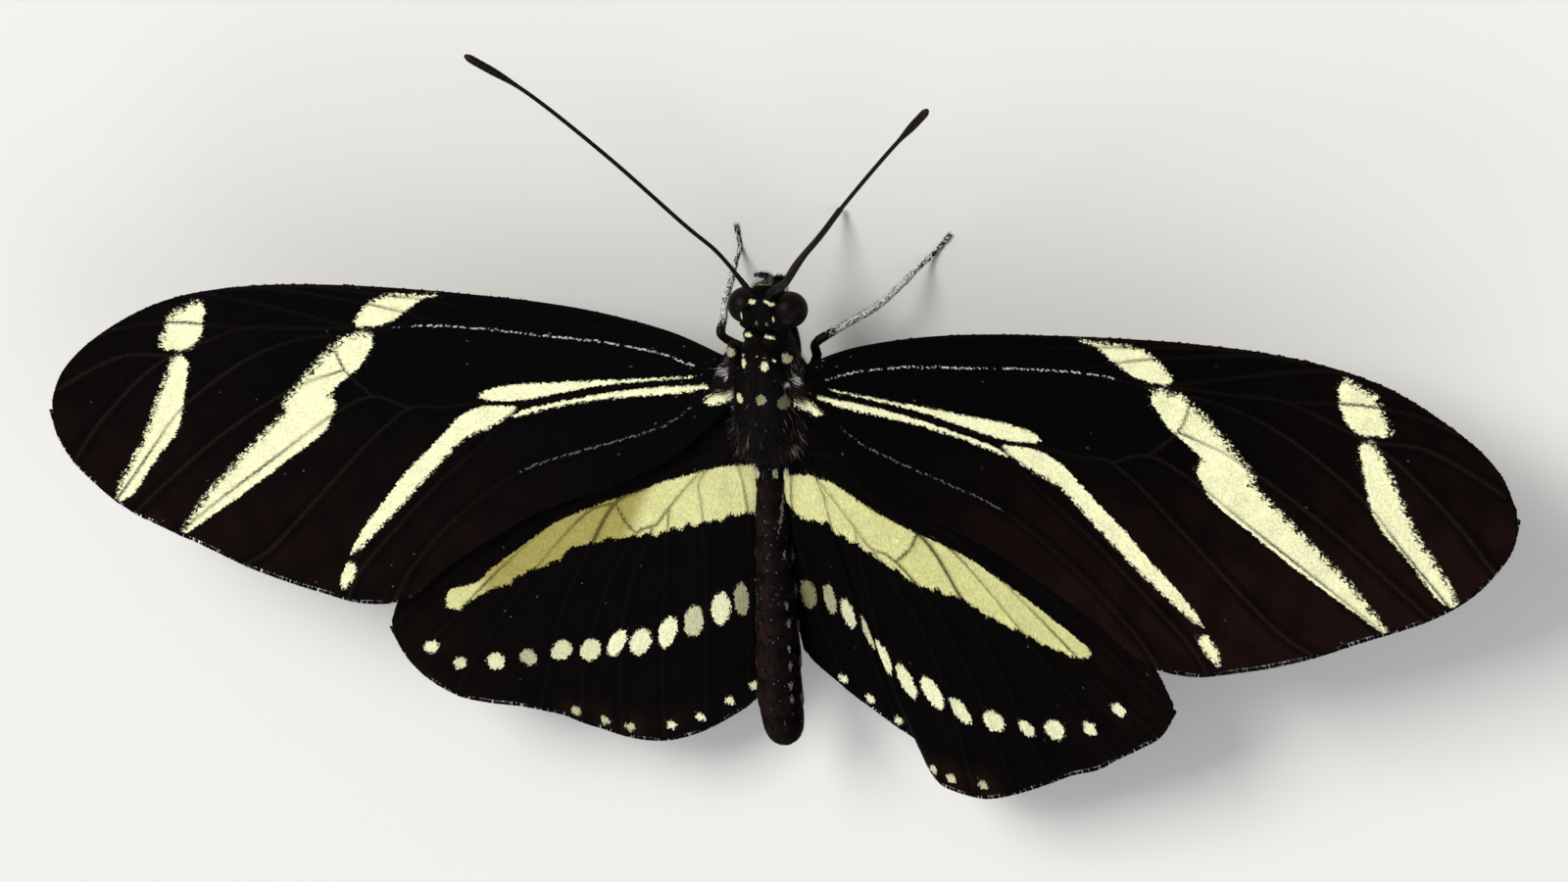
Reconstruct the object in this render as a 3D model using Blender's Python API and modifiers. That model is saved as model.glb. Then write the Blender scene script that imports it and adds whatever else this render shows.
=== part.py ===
"""A zebra longwing butterfly at life size, standing with its wings spread.

The head faces -Y and the butterfly's right is -X. Lengths are named in millimetres
and turned into metres where a mesh is made. Each wing is drawn flat as a template,
with u outward from its root and v forward, and is then set into its own posture.
"""
import math

import bmesh
import bpy
import numpy as np
from mathutils import Matrix, Vector

MM = 0.001

# Where the centre of the thorax lies over the middle of the whole model
THORAX_X = 0.228
THORAX_Y = -1.51
THORAX_HEIGHT = 7.0

# Trunk: half sizes in millimetres at stations along the body
THORAX_FRONT = -3.55
THORAX_BACK = 3.75
THORAX_HALF_WIDTH = 2.05
THORAX_HALF_HEIGHT = 2.35
THORAX_NECK = 0.42
THORAX_WAIST = 0.36
THORAX_FULLNESS = 2.2
THORAX_TAPER = 0.13
THORAX_TAPER_START = -1.2
THORAX_TAPER_END = -2.4
THORAX_STATIONS = 15
THORAX_SIDES = 20
ABDOMEN_FRONT = 3.87
ABDOMEN_BACK = 20.5
ABDOMEN_SLIP = 0.14
ABDOMEN_SLIP_END = 0.3
ABDOMEN_RISE = -0.1
ABDOMEN_DROP = 0.8
ABDOMEN_HALF_WIDTH = 1.22
ABDOMEN_BASE = 0.64
ABDOMEN_WIDEST = 0.85
ABDOMEN_TIP = 0.92
ABDOMEN_TIP_POWER = 2.2
ABDOMEN_END = 0.12
ABDOMEN_TALLNESS = 1.06
ABDOMEN_RINGS = 8
ABDOMEN_SIDES = 14
STEPS_PER_RING = 3
LAST_RING = 0.93
RING_DEPTH = 0.05
HEAD_FRONT = -6.2
HEAD_BACK = -3.67
HEAD_HALF_WIDTH = 1.2
HEAD_HALF_HEIGHT = 1.35
HEAD_RISE = 0.2
HEAD_NECK = 0.5
HEAD_BROW = 0.3
HEAD_FULLNESS = 2.1
HEAD_STATIONS = 11
HEAD_SIDES = 18
EYE_RADIUS = 1.02
EYE_SEGMENTS = 18
EYE_RINGS = 12
EYE_SIDE = 1.32
EYE_FRONT = -4.85
EYE_RISE = 0.3
MEETING_GAP = 0.1

# Wings
WING_THICKNESS = 0.5
CAMBER = 0.0075
CAMBER_LINE = -4.0
EDGE_STEPS = 16
TIP_TRIM = 0.04
FORE_LEAD = ((-0.3, 0.5), (3.5, 1.9), (9.0, 2.9), (16.0, 3.35), (24.0, 3.4), (30.0, 2.9),
             (34.5, 1.8), (38.3, -0.2), (40.8, -2.4), (41.9, -4.9))
FORE_TRAIL = ((-0.3, -2.1), (2.9, -4.9), (6.5, -6.9), (11.0, -8.6), (14.0, -10.3), (17.0, -12.2),
              (19.6, -14.3), (22.2, -15.0), (25.6, -14.5), (29.0, -13.6), (33.0, -12.1),
              (36.6, -10.7), (39.2, -9.1), (41.2, -6.9), (41.9, -4.9))
HIND_LEAD = ((-0.5, -2.2), (-0.25, -0.9), (0.35, 0.9), (2.6, 1.9), (6.0, 2.0), (10.0, 0.3),
             (14.5, -3.0), (18.5, -7.5), (20.8, -11.0), (22.0, -13.6))
HIND_TRAIL_LEFT = ((-0.5, -14.6), (0.2, -16.5), (1.0, -17.5), (2.7, -18.6), (4.6, -19.5),
                   (6.8, -19.9), (8.2, -19.8), (10.4, -19.2), (12.2, -18.6), (14.2, -18.25),
                   (16.6, -18.15), (18.4, -17.8), (20.2, -16.8), (21.4, -15.2), (22.0, -13.6))
HIND_TRAIL_RIGHT = ((-0.5, -15.7), (0.6, -16.8), (2.7, -18.3), (4.4, -19.3), (5.9, -20.0),
                    (7.2, -20.4), (8.4, -20.6), (9.6, -20.6), (10.9, -20.2), (12.2, -19.7),
                    (13.5, -19.1), (15.0, -18.4), (16.7, -17.8), (18.0, -17.0), (19.6, -16.1),
                    (20.9, -15.2), (22.0, -13.6))
FORE_STATIONS = 30
FORE_ACROSS = 6
HIND_STATIONS = {"left": 20, "right": 28}
HIND_ACROSS = 8

# Posture of each wing: root in millimetres from the thorax centre, angles in degrees
WING_POSTURES = {
    "forewing_left": {"side": 1, "root": (2.34, -1.37, 1.0), "sweep": 2.0, "dihedral": 5.5,
                      "twist": -2.5, "droop": 0.0011},
    "forewing_right": {"side": -1, "root": (2.34, -1.37, 1.0), "sweep": -3.3, "dihedral": 6.6,
                       "twist": -1.9, "droop": 0.0015},
    "hindwing_left": {"side": 1, "root": (2.04, 1.87, 0.4), "sweep": 2.0, "dihedral": 7.0,
                      "twist": 3.6, "droop": 0.0012},
    "hindwing_right": {"side": -1, "root": (2.04, 1.87, 0.4), "sweep": -1.6, "dihedral": 6.2,
                       "twist": 0.7, "droop": 0.0013},
}
# Pleat of each hindwing: where its crease ends on the template, the slope in degrees within the
# pleat and inward of it, and the pleat's width for each millimetre along the crease
PLEATS = {
    "hindwing_left": {"end": (6.5, -19.5), "steep": 12.0, "level": 12.0, "widening": 0.17},
    "hindwing_right": {"end": (7.0, -19.5), "steep": 50.0, "level": 2.2, "widening": 0.182},
}
PLEAT_ONSET = 0.35
PLEAT_FOOT = (0.8, 1.15)
PLEAT_NEAREST = 0.5
PLEAT_STEPS = 30

# Feelers, palps and proboscis: half thickness in millimetres
FEELER_RADIUS = 0.26
CLUB_RADIUS = 0.36
FEELER_NECK = 0.3
CLUB_END = 0.2
PROBOSCIS_RADIUS = 0.26
PALP_RADIUS = 0.27
PALP_END = 0.14
FEELER_STEPS = 5

# Legs: half thickness at the hip, the knee and the foot
HIP_RADIUS = 0.36
THIGH_RADIUS = 0.33
KNEE_RADIUS = 0.28
SHIN_RADIUS = 0.27
FOOT_RADIUS = 0.26
FOOT_AXIS_HEIGHT = 0.17
FORELEG_RADII = (0.27, 0.27, 0.26, 0.2)
LEG_STEPS = 3
WELD_DISTANCE = 0.000005

BLACK_COAT = (0.006, 0.005, 0.0045)
WING_BLACK = (0.010, 0.007, 0.006)
EYE_MAROON = (0.030, 0.008, 0.006)
HORN_BROWN = (0.020, 0.012, 0.009)


def clear_scene():
    """Remove what the file opened with."""
    for leftover in list(bpy.data.objects):
        bpy.data.objects.remove(leftover, do_unlink=True)


def make_collection(name, hidden=False):
    """Make a collection in the scene, hidden from renders for cutters."""
    collection = bpy.data.collections.new(name)
    bpy.context.scene.collection.children.link(collection)
    collection.hide_render = hidden
    return collection


def make_material(name, colour, roughness):
    """A plain Principled material with one colour."""
    material = bpy.data.materials.new(name)
    material.use_nodes = True
    shader = material.node_tree.nodes["Principled BSDF"]
    shader.inputs["Base Color"].default_value = (*colour, 1.0)
    shader.inputs["Roughness"].default_value = roughness
    shader.inputs["Metallic"].default_value = 0.0
    return material


def link_mesh(name, bm, material, collection):
    """Turn a bmesh into a named, smoothly shaded object."""
    bmesh.ops.recalc_face_normals(bm, faces=bm.faces)
    mesh = bpy.data.meshes.new(name)
    bm.to_mesh(mesh)
    bm.free()
    mesh.shade_smooth()
    mesh.materials.append(material)
    piece = bpy.data.objects.new(name, mesh)
    collection.objects.link(piece)
    return piece


def from_thorax(x, y, rise):
    """A place given in millimetres from the thorax centre, in metres."""
    return Vector(((THORAX_X + x) * MM, (THORAX_Y + y) * MM, (THORAX_HEIGHT + rise) * MM))


def smooth_path(points, steps):
    """Read a smooth curve through a few points, an even number of steps to each span."""
    knots = [np.array(point, dtype=float) for point in points]
    knots = [2.0 * knots[0] - knots[1]] + knots + [2.0 * knots[-1] - knots[-2]]
    path = []
    for before, start, end, after in zip(knots, knots[1:], knots[2:], knots[3:]):
        for step in range(steps):
            t = step / steps
            bend = 2.0 * start + (end - before) * t
            bend = bend + (2.0 * before - 5.0 * start + 4.0 * end - after) * t * t
            bend = bend + (3.0 * start - before - 3.0 * end + after) * t ** 3
            path.append(0.5 * bend)
    path.append(knots[-2])
    return np.array(path)


def loft(name, rings, material, collection):
    """Join rings of points into one closed body with flat ends."""
    bm = bmesh.new()
    loops = [[bm.verts.new(point) for point in ring] for ring in rings]
    count = len(loops[0])
    for lower, upper in zip(loops, loops[1:]):
        for i in range(count):
            j = (i + 1) % count
            bm.faces.new((lower[i], lower[j], upper[j], upper[i]))
    bm.faces.new(loops[0])
    bm.faces.new(loops[-1])
    return link_mesh(name, bm, material, collection)


def ease(low, high, value):
    """A smooth step from 0 at low to 1 at high."""
    t = min(1.0, max(0.0, (value - low) / (high - low)))
    return t * t * (3.0 - 2.0 * t)


def oval_ring(y, rise, half_width, half_height, count, x=0.0):
    """An oval section across the body."""
    ring = []
    for i in range(count):
        angle = 2.0 * math.pi * i / count
        across = x + half_width * math.cos(angle)
        ring.append(from_thorax(across, y, rise + half_height * math.sin(angle)))
    return ring


def bulge(t, first, last, power):
    """A rounded swelling from first to last that reaches 1 between them."""
    base = first + (last - first) * t
    hump = (1.0 - abs(2.0 * t - 1.0) ** power) ** (1.0 / power)
    return base + (1.0 - base) * hump


def build_thorax(material, collection):
    """The trunk between neck and waist, deepest over the wing roots."""
    rings = []
    for i in range(THORAX_STATIONS):
        t = 0.5 - 0.5 * math.cos(math.pi * i / (THORAX_STATIONS - 1))
        y = THORAX_FRONT + (THORAX_BACK - THORAX_FRONT) * t
        swell = bulge(t, THORAX_NECK, THORAX_WAIST, THORAX_FULLNESS)
        taper = THORAX_TAPER * ease(THORAX_TAPER_START, THORAX_TAPER_END, y)
        half_width = THORAX_HALF_WIDTH * swell * (1.0 - taper)
        half_height = THORAX_HALF_HEIGHT * swell * (1.0 - taper)
        rise = THORAX_HALF_HEIGHT * swell * taper
        rings.append(oval_ring(y, rise, half_width, half_height, THORAX_SIDES))
    return loft("thorax", rings, material, collection)


def abdomen_half_width(t):
    """Half width of the abdomen from its waist at 0 to its tip at 1."""
    swell = math.sin(0.5 * math.pi * min(1.0, t / ABDOMEN_WIDEST))
    body = ABDOMEN_BASE + (1.0 - ABDOMEN_BASE) * swell
    past_tip = max(0.0, t - ABDOMEN_TIP) / (1.0 - ABDOMEN_TIP)
    tip = math.sqrt(max(0.0, 1.0 - past_tip ** ABDOMEN_TIP_POWER))
    ring = RING_DEPTH * abs(math.sin(math.pi * ABDOMEN_RINGS * t)) if t < LAST_RING else 0.0
    return ABDOMEN_HALF_WIDTH * max(ABDOMEN_END, body * tip) + ring - RING_DEPTH


def build_abdomen(material, collection):
    """The ringed abdomen, sloping down a little from the waist."""
    count = ABDOMEN_RINGS * STEPS_PER_RING
    rings = []
    for i in range(count + 1):
        t = i / count
        y = ABDOMEN_FRONT + (ABDOMEN_BACK - ABDOMEN_FRONT) * t
        rise = ABDOMEN_RISE - ABDOMEN_DROP * math.sin(0.5 * math.pi * t)
        half = abdomen_half_width(t)
        slip = ABDOMEN_SLIP * ease(0.0, ABDOMEN_SLIP_END, t)
        rings.append(oval_ring(y, rise, half, half * ABDOMEN_TALLNESS, ABDOMEN_SIDES, slip))
    return loft("abdomen", rings, material, collection)


def ball(name, centre, radius, material, collection):
    """A closed ball, its poles to the sides."""
    bm = bmesh.new()
    place = Matrix.Translation(centre) @ Matrix.Rotation(math.pi / 2.0, 4, "Y")
    bmesh.ops.create_uvsphere(bm, u_segments=EYE_SEGMENTS, v_segments=EYE_RINGS, radius=radius * MM,
                              matrix=place)
    return link_mesh(name, bm, material, collection)


def build_head(materials, collection, cutters):
    """The head with a hollow on each side that an eye fills."""
    rings = []
    for i in range(HEAD_STATIONS):
        t = 0.5 - 0.5 * math.cos(math.pi * i / (HEAD_STATIONS - 1))
        y = HEAD_BACK + (HEAD_FRONT - HEAD_BACK) * t
        swell = bulge(t, HEAD_NECK, HEAD_BROW, HEAD_FULLNESS)
        half_width = HEAD_HALF_WIDTH * swell
        half_height = HEAD_HALF_HEIGHT * swell
        rings.append(oval_ring(y, HEAD_RISE, half_width, half_height, HEAD_SIDES))
    head = loft("head", rings, materials["coat"], collection)
    for label, side in (("left", 1), ("right", -1)):
        centre = from_thorax(side * EYE_SIDE, EYE_FRONT, EYE_RISE)
        ball("eye_" + label, centre, EYE_RADIUS, materials["eye"], collection)
        hollow = ball("hollow_" + label, centre, EYE_RADIUS + MEETING_GAP, materials["eye"], cutters)
        hollow.hide_render = True
        hollow.display_type = "WIRE"
        cut = head.modifiers.new("Hollow " + label, "BOOLEAN")
        cut.operation = "DIFFERENCE"
        cut.object = hollow
    return head


def edge_value(edge, u):
    """How far forward a wing's edge lies at u."""
    curve = smooth_path(edge, EDGE_STEPS)
    return float(np.interp(u, curve[:, 0], curve[:, 1]))


def pleat_slope(pleat, t):
    """Slope of the wing in radians at t pleat widths inward of the crease."""
    past = ease(PLEAT_FOOT[0], PLEAT_FOOT[1], t)
    steep = pleat["steep"] * ease(0.0, PLEAT_ONSET, t)
    return math.radians(steep * (1.0 - past) + pleat["level"] * past)


def pleated(u, v, pleat):
    """Turn the part of a hindwing inward of its crease down, and level it off past the pleat."""
    point = Vector((u, v, 0.0))
    if pleat is None:
        return point
    along = Vector((*pleat["end"], 0.0)).normalized()
    outward = Vector((-along.y, along.x, 0.0))
    inner = -point.dot(outward)
    if inner <= 0.0:
        return point
    width = pleat["widening"] * max(PLEAT_NEAREST, point.dot(along))
    foot = point + outward * inner
    step = inner / PLEAT_STEPS
    for i in range(PLEAT_STEPS):
        slope = pleat_slope(pleat, (i + 0.5) * step / width)
        foot = foot - outward * (step * math.cos(slope)) - Vector((0.0, 0.0, step * math.sin(slope)))
    return foot


def wing_point(posture, pleat, u, v):
    """Set a point of the flat template into the wing's posture."""
    point = pleated(u, v, pleat)
    point.z -= CAMBER * (v - CAMBER_LINE) ** 2 + posture["droop"] * u * u
    turn = Matrix.Rotation(math.radians(posture["twist"]), 3, "X")
    turn = Matrix.Rotation(-math.radians(posture["dihedral"]), 3, "Y") @ turn
    turn = Matrix.Rotation(-math.radians(posture["sweep"]), 3, "Z") @ turn
    placed = turn @ point
    root_x, root_y, root_rise = posture["root"]
    side = posture["side"]
    return from_thorax(side * (root_x + placed.x), root_y - placed.y, root_rise + placed.z)


def build_wing(name, lead, trail, stations, across, material, collection):
    """An open surface between the two edges of the template, given its thickness."""
    posture = WING_POSTURES[name]
    pleat = PLEATS.get(name)
    first = lead[0][0]
    last = lead[-1][0] - TIP_TRIM
    bm = bmesh.new()
    rows = []
    for i in range(stations + 1):
        u = first + (last - first) * math.sin(0.5 * math.pi * i / stations)
        front = edge_value(lead, u)
        back = edge_value(trail, u)
        row = []
        for j in range(across + 1):
            v = back + (front - back) * j / across
            row.append(bm.verts.new(wing_point(posture, pleat, u, v)))
        rows.append(row)
    for inner, outer in zip(rows, rows[1:]):
        for j in range(across):
            corners = (inner[j], outer[j], outer[j + 1], inner[j + 1])
            bm.faces.new(corners if posture["side"] > 0 else corners[::-1])
    wing = link_mesh(name, bm, material, collection)
    shell = wing.modifiers.new("Thickness", "SOLIDIFY")
    shell.thickness = WING_THICKNESS * MM
    shell.offset = 0.0
    return wing


def tube(name, points, radii, material, collection, steps):
    """A round rod with filled ends through points given from the thorax centre."""
    path = smooth_path(points, steps)
    thickness = np.interp(np.linspace(0.0, 1.0, len(path)), np.linspace(0.0, 1.0, len(radii)), radii)
    curve = bpy.data.curves.new(name, "CURVE")
    curve.dimensions = "3D"
    curve.bevel_depth = MM
    curve.bevel_resolution = 2
    curve.use_fill_caps = True
    spline = curve.splines.new("POLY")
    spline.points.add(len(path) - 1)
    for knot, place, half in zip(spline.points, path, thickness):
        knot.co = (*from_thorax(*place), 1.0)
        knot.radius = half
    curve.materials.append(material)
    rod = bpy.data.objects.new(name, curve)
    collection.objects.link(rod)
    return rod


def flat_footed(rod, material, collection):
    """Make a rod into a mesh and cut it level with the ground, closing the cut."""
    name = rod.name
    bpy.context.view_layer.update()
    solid = bpy.data.meshes.new_from_object(rod.evaluated_get(bpy.context.evaluated_depsgraph_get()))
    bpy.data.objects.remove(rod, do_unlink=True)
    bm = bmesh.new()
    bm.from_mesh(solid)
    bmesh.ops.remove_doubles(bm, verts=bm.verts, dist=WELD_DISTANCE)
    everything = list(bm.verts) + list(bm.edges) + list(bm.faces)
    bmesh.ops.bisect_plane(bm, geom=everything, plane_co=(0.0, 0.0, 0.0), plane_no=(0.0, 0.0, 1.0),
                           clear_inner=True)
    rim = [edge for edge in bm.edges if edge.is_boundary]
    bmesh.ops.holes_fill(bm, edges=rim)
    return link_mesh(name, bm, material, collection)


def build_legs(material, collection):
    """Four walking legs on small flats, and the short brush-like front pair held up."""
    ground = FOOT_AXIS_HEIGHT - THORAX_HEIGHT
    routes = {
        "midleg_left": ((1.0, -0.3, -2.58), (2.2, -1.7, -1.6), (3.3, -2.6, -0.8), (3.8, -3.25, -2.0),
                        (4.25, -3.95, -3.2), (4.6, -4.7, -4.7), (4.9, -5.4, ground + 0.9),
                        (5.1, -6.0, ground), (5.3, -7.1, ground)),
        "midleg_right": ((-1.0, -0.3, -2.58), (-1.95, -1.7, -1.7), (-2.4, -2.85, -0.8),
                         (-3.5, -3.6, -2.2), (-4.85, -4.5, -3.7), (-5.7, -5.5, -5.0),
                         (-6.3, -6.3, ground + 0.55), (-6.9, -7.0, ground), (-7.6, -7.85, ground)),
        "hindleg_left": ((0.95, 1.7, -2.45), (3.0, 3.1, -1.9), (5.2, 4.4, -1.5), (6.6, 5.7, -3.2),
                         (7.9, 7.0, -5.0), (8.5, 8.0, ground + 0.6), (8.9, 8.7, ground),
                         (9.5, 9.8, ground)),
        "hindleg_right": ((-0.95, 1.7, -2.45), (-2.9, 3.2, -1.9), (-5.0, 4.6, -1.5), (-6.3, 6.1, -3.2),
                          (-7.5, 7.5, -5.0), (-8.1, 8.5, ground + 0.6), (-8.5, 9.2, ground),
                          (-9.1, 10.3, ground)),
    }
    radii = (HIP_RADIUS, THIGH_RADIUS, KNEE_RADIUS, SHIN_RADIUS, FOOT_RADIUS, FOOT_RADIUS, FOOT_RADIUS)
    for name, route in routes.items():
        rod = tube(name, route, radii, material, collection, LEG_STEPS)
        flat_footed(rod, material, collection)
    for label, side in (("left", 1), ("right", -1)):
        route = ((side * 0.5, -1.9, -2.3), (side * 0.42, -2.9, -2.15), (side * 0.36, -3.9, -1.75),
                 (side * 0.36, -4.65, -1.45))
        tube("foreleg_" + label, route, FORELEG_RADII, material, collection, 2)


def build_face(material, collection):
    """The palps, the uncoiled proboscis and the two clubbed feelers."""
    radii = (PALP_RADIUS, PALP_RADIUS, PALP_RADIUS, PALP_END)
    left = ((0.36, -5.6, -1.15), (0.42, -6.3, -0.8), (0.5, -6.7, -0.1), (0.66, -6.75, 0.5))
    right = ((-0.36, -5.6, -1.15), (-0.42, -6.3, -0.85), (-0.4, -6.65, -0.1), (-0.34, -6.6, 0.5))
    tube("palp_left", left, radii, material, collection, 2)
    tube("palp_right", right, radii, material, collection, 2)
    route = ((0.0, -5.35, -1.5), (-0.3, -6.5, -2.7), (-0.85, -7.7, -4.7), (-1.2, -8.8, -6.45))
    tube("proboscis", route, (PROBOSCIS_RADIUS,) * 3, material, collection, 4)
    shaft = (FEELER_RADIUS,) * 4 + (FEELER_NECK, CLUB_RADIUS, CLUB_END)
    left = ((0.6, -5.9, 1.25), (2.25, -8.0, 1.7), (4.1, -9.6, 2.2), (8.1, -13.2, 3.2),
            (12.3, -16.6, 4.3), (15.8, -18.6, 5.0))
    right = ((-0.6, -5.9, 1.25), (-1.7, -6.75, 1.5), (-4.0, -9.4, 2.9), (-6.8, -12.4, 4.8),
             (-10.3, -16.0, 6.9), (-13.5, -19.1, 8.7))
    tube("antenna_left", left, shaft, material, collection, FEELER_STEPS)
    tube("antenna_right", right, shaft, material, collection, FEELER_STEPS)


def build_butterfly():
    """Model every piece of the butterfly."""
    clear_scene()
    parts = make_collection("zebra_longwing")
    cutters = make_collection("cutters", hidden=True)
    materials = {
        "coat": make_material("body_coat", BLACK_COAT, 0.7),
        "wing": make_material("wing_scales", WING_BLACK, 0.6),
        "eye": make_material("eye_facets", EYE_MAROON, 0.2),
        "horn": make_material("feeler_horn", HORN_BROWN, 0.5),
    }
    build_thorax(materials["coat"], parts)
    build_abdomen(materials["coat"], parts)
    build_head(materials, parts, cutters)
    for label, hind_trail in (("left", HIND_TRAIL_LEFT), ("right", HIND_TRAIL_RIGHT)):
        build_wing("forewing_" + label, FORE_LEAD, FORE_TRAIL, FORE_STATIONS, FORE_ACROSS,
                   materials["wing"], parts)
        build_wing("hindwing_" + label, HIND_LEAD, hind_trail, HIND_STATIONS[label], HIND_ACROSS,
                   materials["wing"], parts)
    build_legs(materials["coat"], parts)
    build_face(materials["horn"], parts)


build_butterfly()
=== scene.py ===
"""The looks of a life-size zebra longwing: body skin, scales, hair, eyes, feelers and wings.

The head faces -Y and the butterfly's right is -X. Shapes are worked out in millimetres from
the centre of the thorax, or on each wing's flat template (u outward from the root, v forward),
and are turned into metres when a mesh is made.
"""

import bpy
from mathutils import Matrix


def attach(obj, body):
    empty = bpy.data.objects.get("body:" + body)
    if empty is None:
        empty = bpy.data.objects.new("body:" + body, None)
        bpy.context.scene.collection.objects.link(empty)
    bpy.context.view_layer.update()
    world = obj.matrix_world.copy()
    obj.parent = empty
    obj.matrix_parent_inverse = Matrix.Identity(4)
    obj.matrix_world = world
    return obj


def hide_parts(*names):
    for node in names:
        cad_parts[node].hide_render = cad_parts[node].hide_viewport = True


bl_info = {
    "name": "Zebra Longwing Finish",
    "version": (1, 0, 0),
    "blender": (4, 5, 0),
    "location": "3D View > Sidebar > Longwing",
    "description": "Dresses a life-size butterfly in skin, wing scales and hair",
    "category": "Object",
}

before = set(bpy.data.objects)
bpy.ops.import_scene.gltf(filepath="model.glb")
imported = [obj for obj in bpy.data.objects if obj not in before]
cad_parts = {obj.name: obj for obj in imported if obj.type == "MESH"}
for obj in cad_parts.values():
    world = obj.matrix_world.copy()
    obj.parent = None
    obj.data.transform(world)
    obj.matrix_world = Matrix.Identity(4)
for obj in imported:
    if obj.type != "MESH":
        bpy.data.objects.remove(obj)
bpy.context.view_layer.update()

import math

import bmesh
import bpy
import numpy as np
from mathutils import Matrix, Vector

MM = 0.001
THORAX = np.array((0.228, -1.51, 7.0))

# Trunk, in millimetres from the thorax centre, as in the solids
THORAX_FRONT = -3.55
THORAX_BACK = 3.75
THORAX_HALF_WIDTH = 2.05
THORAX_HALF_HEIGHT = 2.35
THORAX_TAPER = 0.13
ABDOMEN_FRONT = 3.87
ABDOMEN_BACK = 20.5
ABDOMEN_SLIP = 0.2
ABDOMEN_TIP_SLIP = 0.26
ABDOMEN_RISE = -0.1
ABDOMEN_DROP = 0.8
ABDOMEN_HALF_WIDTH = 1.22
ABDOMEN_TALLNESS = 1.06
ABDOMEN_RINGS = 8
HEAD_FRONT = -6.2
HEAD_BACK = -3.67
HEAD_HALF_WIDTH = 1.2
HEAD_HALF_HEIGHT = 1.35
HEAD_RISE = 0.2
EYE_CENTRE = (1.32, -4.85, 0.3)
EYE_RADIUS = 1.0
COAT_DEPTH = 0.1
SKIN_VOXEL = 0.069

# Wing templates and postures, as in the solids
CAMBER = 0.0075
CAMBER_LINE = -4.0
FORE_LEAD = ((-0.3, 0.5), (3.5, 1.9), (9.0, 2.9), (16.0, 3.35), (24.0, 3.4), (30.0, 2.9),
             (34.5, 1.8), (38.3, -0.2), (40.8, -2.4), (41.9, -4.9))
FORE_TRAIL = ((-0.3, -2.1), (2.9, -4.9), (6.5, -6.9), (11.0, -8.6), (14.0, -10.3), (17.0, -12.2),
              (19.6, -14.3), (22.2, -15.0), (25.6, -14.5), (29.0, -13.6), (33.0, -12.1),
              (36.6, -10.7), (39.2, -9.1), (41.2, -6.9), (41.9, -4.9))
HIND_LEAD = ((-2.6, -1.4), (-1.2, -1.2), (-0.5, -0.7), (0.35, 0.9), (2.6, 1.9), (6.0, 2.0),
             (10.0, 0.3), (14.5, -3.0), (18.5, -7.5), (20.8, -11.0), (22.0, -13.6))
HIND_TRAIL_LEFT = ((-0.95, -13.6), (-0.5, -14.8), (0.2, -16.5), (1.0, -17.5), (2.7, -18.6),
                   (4.6, -19.5), (6.8, -19.9), (8.2, -19.8), (10.4, -19.2), (12.2, -18.6),
                   (14.2, -18.25), (16.6, -18.15), (18.4, -17.8), (20.2, -16.8), (21.4, -15.2),
                   (22.0, -13.6))
HIND_TRAIL_RIGHT = ((-2.6, -13.7), (-1.9, -14.6), (-0.7, -15.6), (0.6, -16.8), (2.7, -18.3),
                    (4.4, -19.3), (5.9, -20.0), (7.2, -20.4), (8.4, -20.6), (9.6, -20.6),
                    (10.9, -20.2), (12.2, -19.7), (13.5, -19.1), (15.0, -18.4), (16.7, -17.8),
                    (18.0, -17.0), (19.6, -16.1), (20.9, -15.2), (22.0, -13.6))
LEADS = {"fore": FORE_LEAD, "hind_left": HIND_LEAD, "hind_right": HIND_LEAD}
TRAILS = {"fore": FORE_TRAIL, "hind_left": HIND_TRAIL_LEFT, "hind_right": HIND_TRAIL_RIGHT}
# How far the membrane reaches from u to u, so that it meets the body and leaves the fringe room
REACH = {"fore": (-1.0, 41.68), "hind_left": (-0.95, 21.8), "hind_right": (-2.6, 21.8)}
FRINGE_DEPTH = 0.1
POSTURES = {
    "forewing_left": {"side": 1, "root": (2.34, -1.37, 1.0), "sweep": 2.0, "dihedral": 5.5,
                      "twist": -2.5, "droop": 0.0011},
    "forewing_right": {"side": -1, "root": (2.34, -1.37, 1.0), "sweep": -3.3, "dihedral": 6.6,
                       "twist": -1.9, "droop": 0.0015},
    "hindwing_left": {"side": 1, "root": (2.04, 1.87, 0.4), "sweep": 2.0, "dihedral": 7.0,
                      "twist": 3.6, "droop": 0.0012},
    "hindwing_right": {"side": -1, "root": (2.04, 1.87, 0.4), "sweep": -1.6, "dihedral": 6.2,
                       "twist": 0.7, "droop": 0.0013},
}
# Pleat of each hindwing: where its crease ends on the template, the slope in degrees within the
# pleat and inward of it, and the pleat's width for each millimetre along the crease
PLEATS = {
    "hindwing_left": {"end": (6.5, -19.5), "steep": 12.0, "level": 12.0, "widening": 0.17},
    "hindwing_right": {"end": (7.0, -19.5), "steep": 50.0, "level": 2.2, "widening": 0.182},
}
PLEAT_ONSET = 0.35
PLEAT_FOOT = (0.8, 1.15)
PLEAT_NEAREST = 0.5
# How far the right hindwing's vein pattern lies inward of the left one's, near the body
PATTERN_SLIP = 1.1

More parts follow.
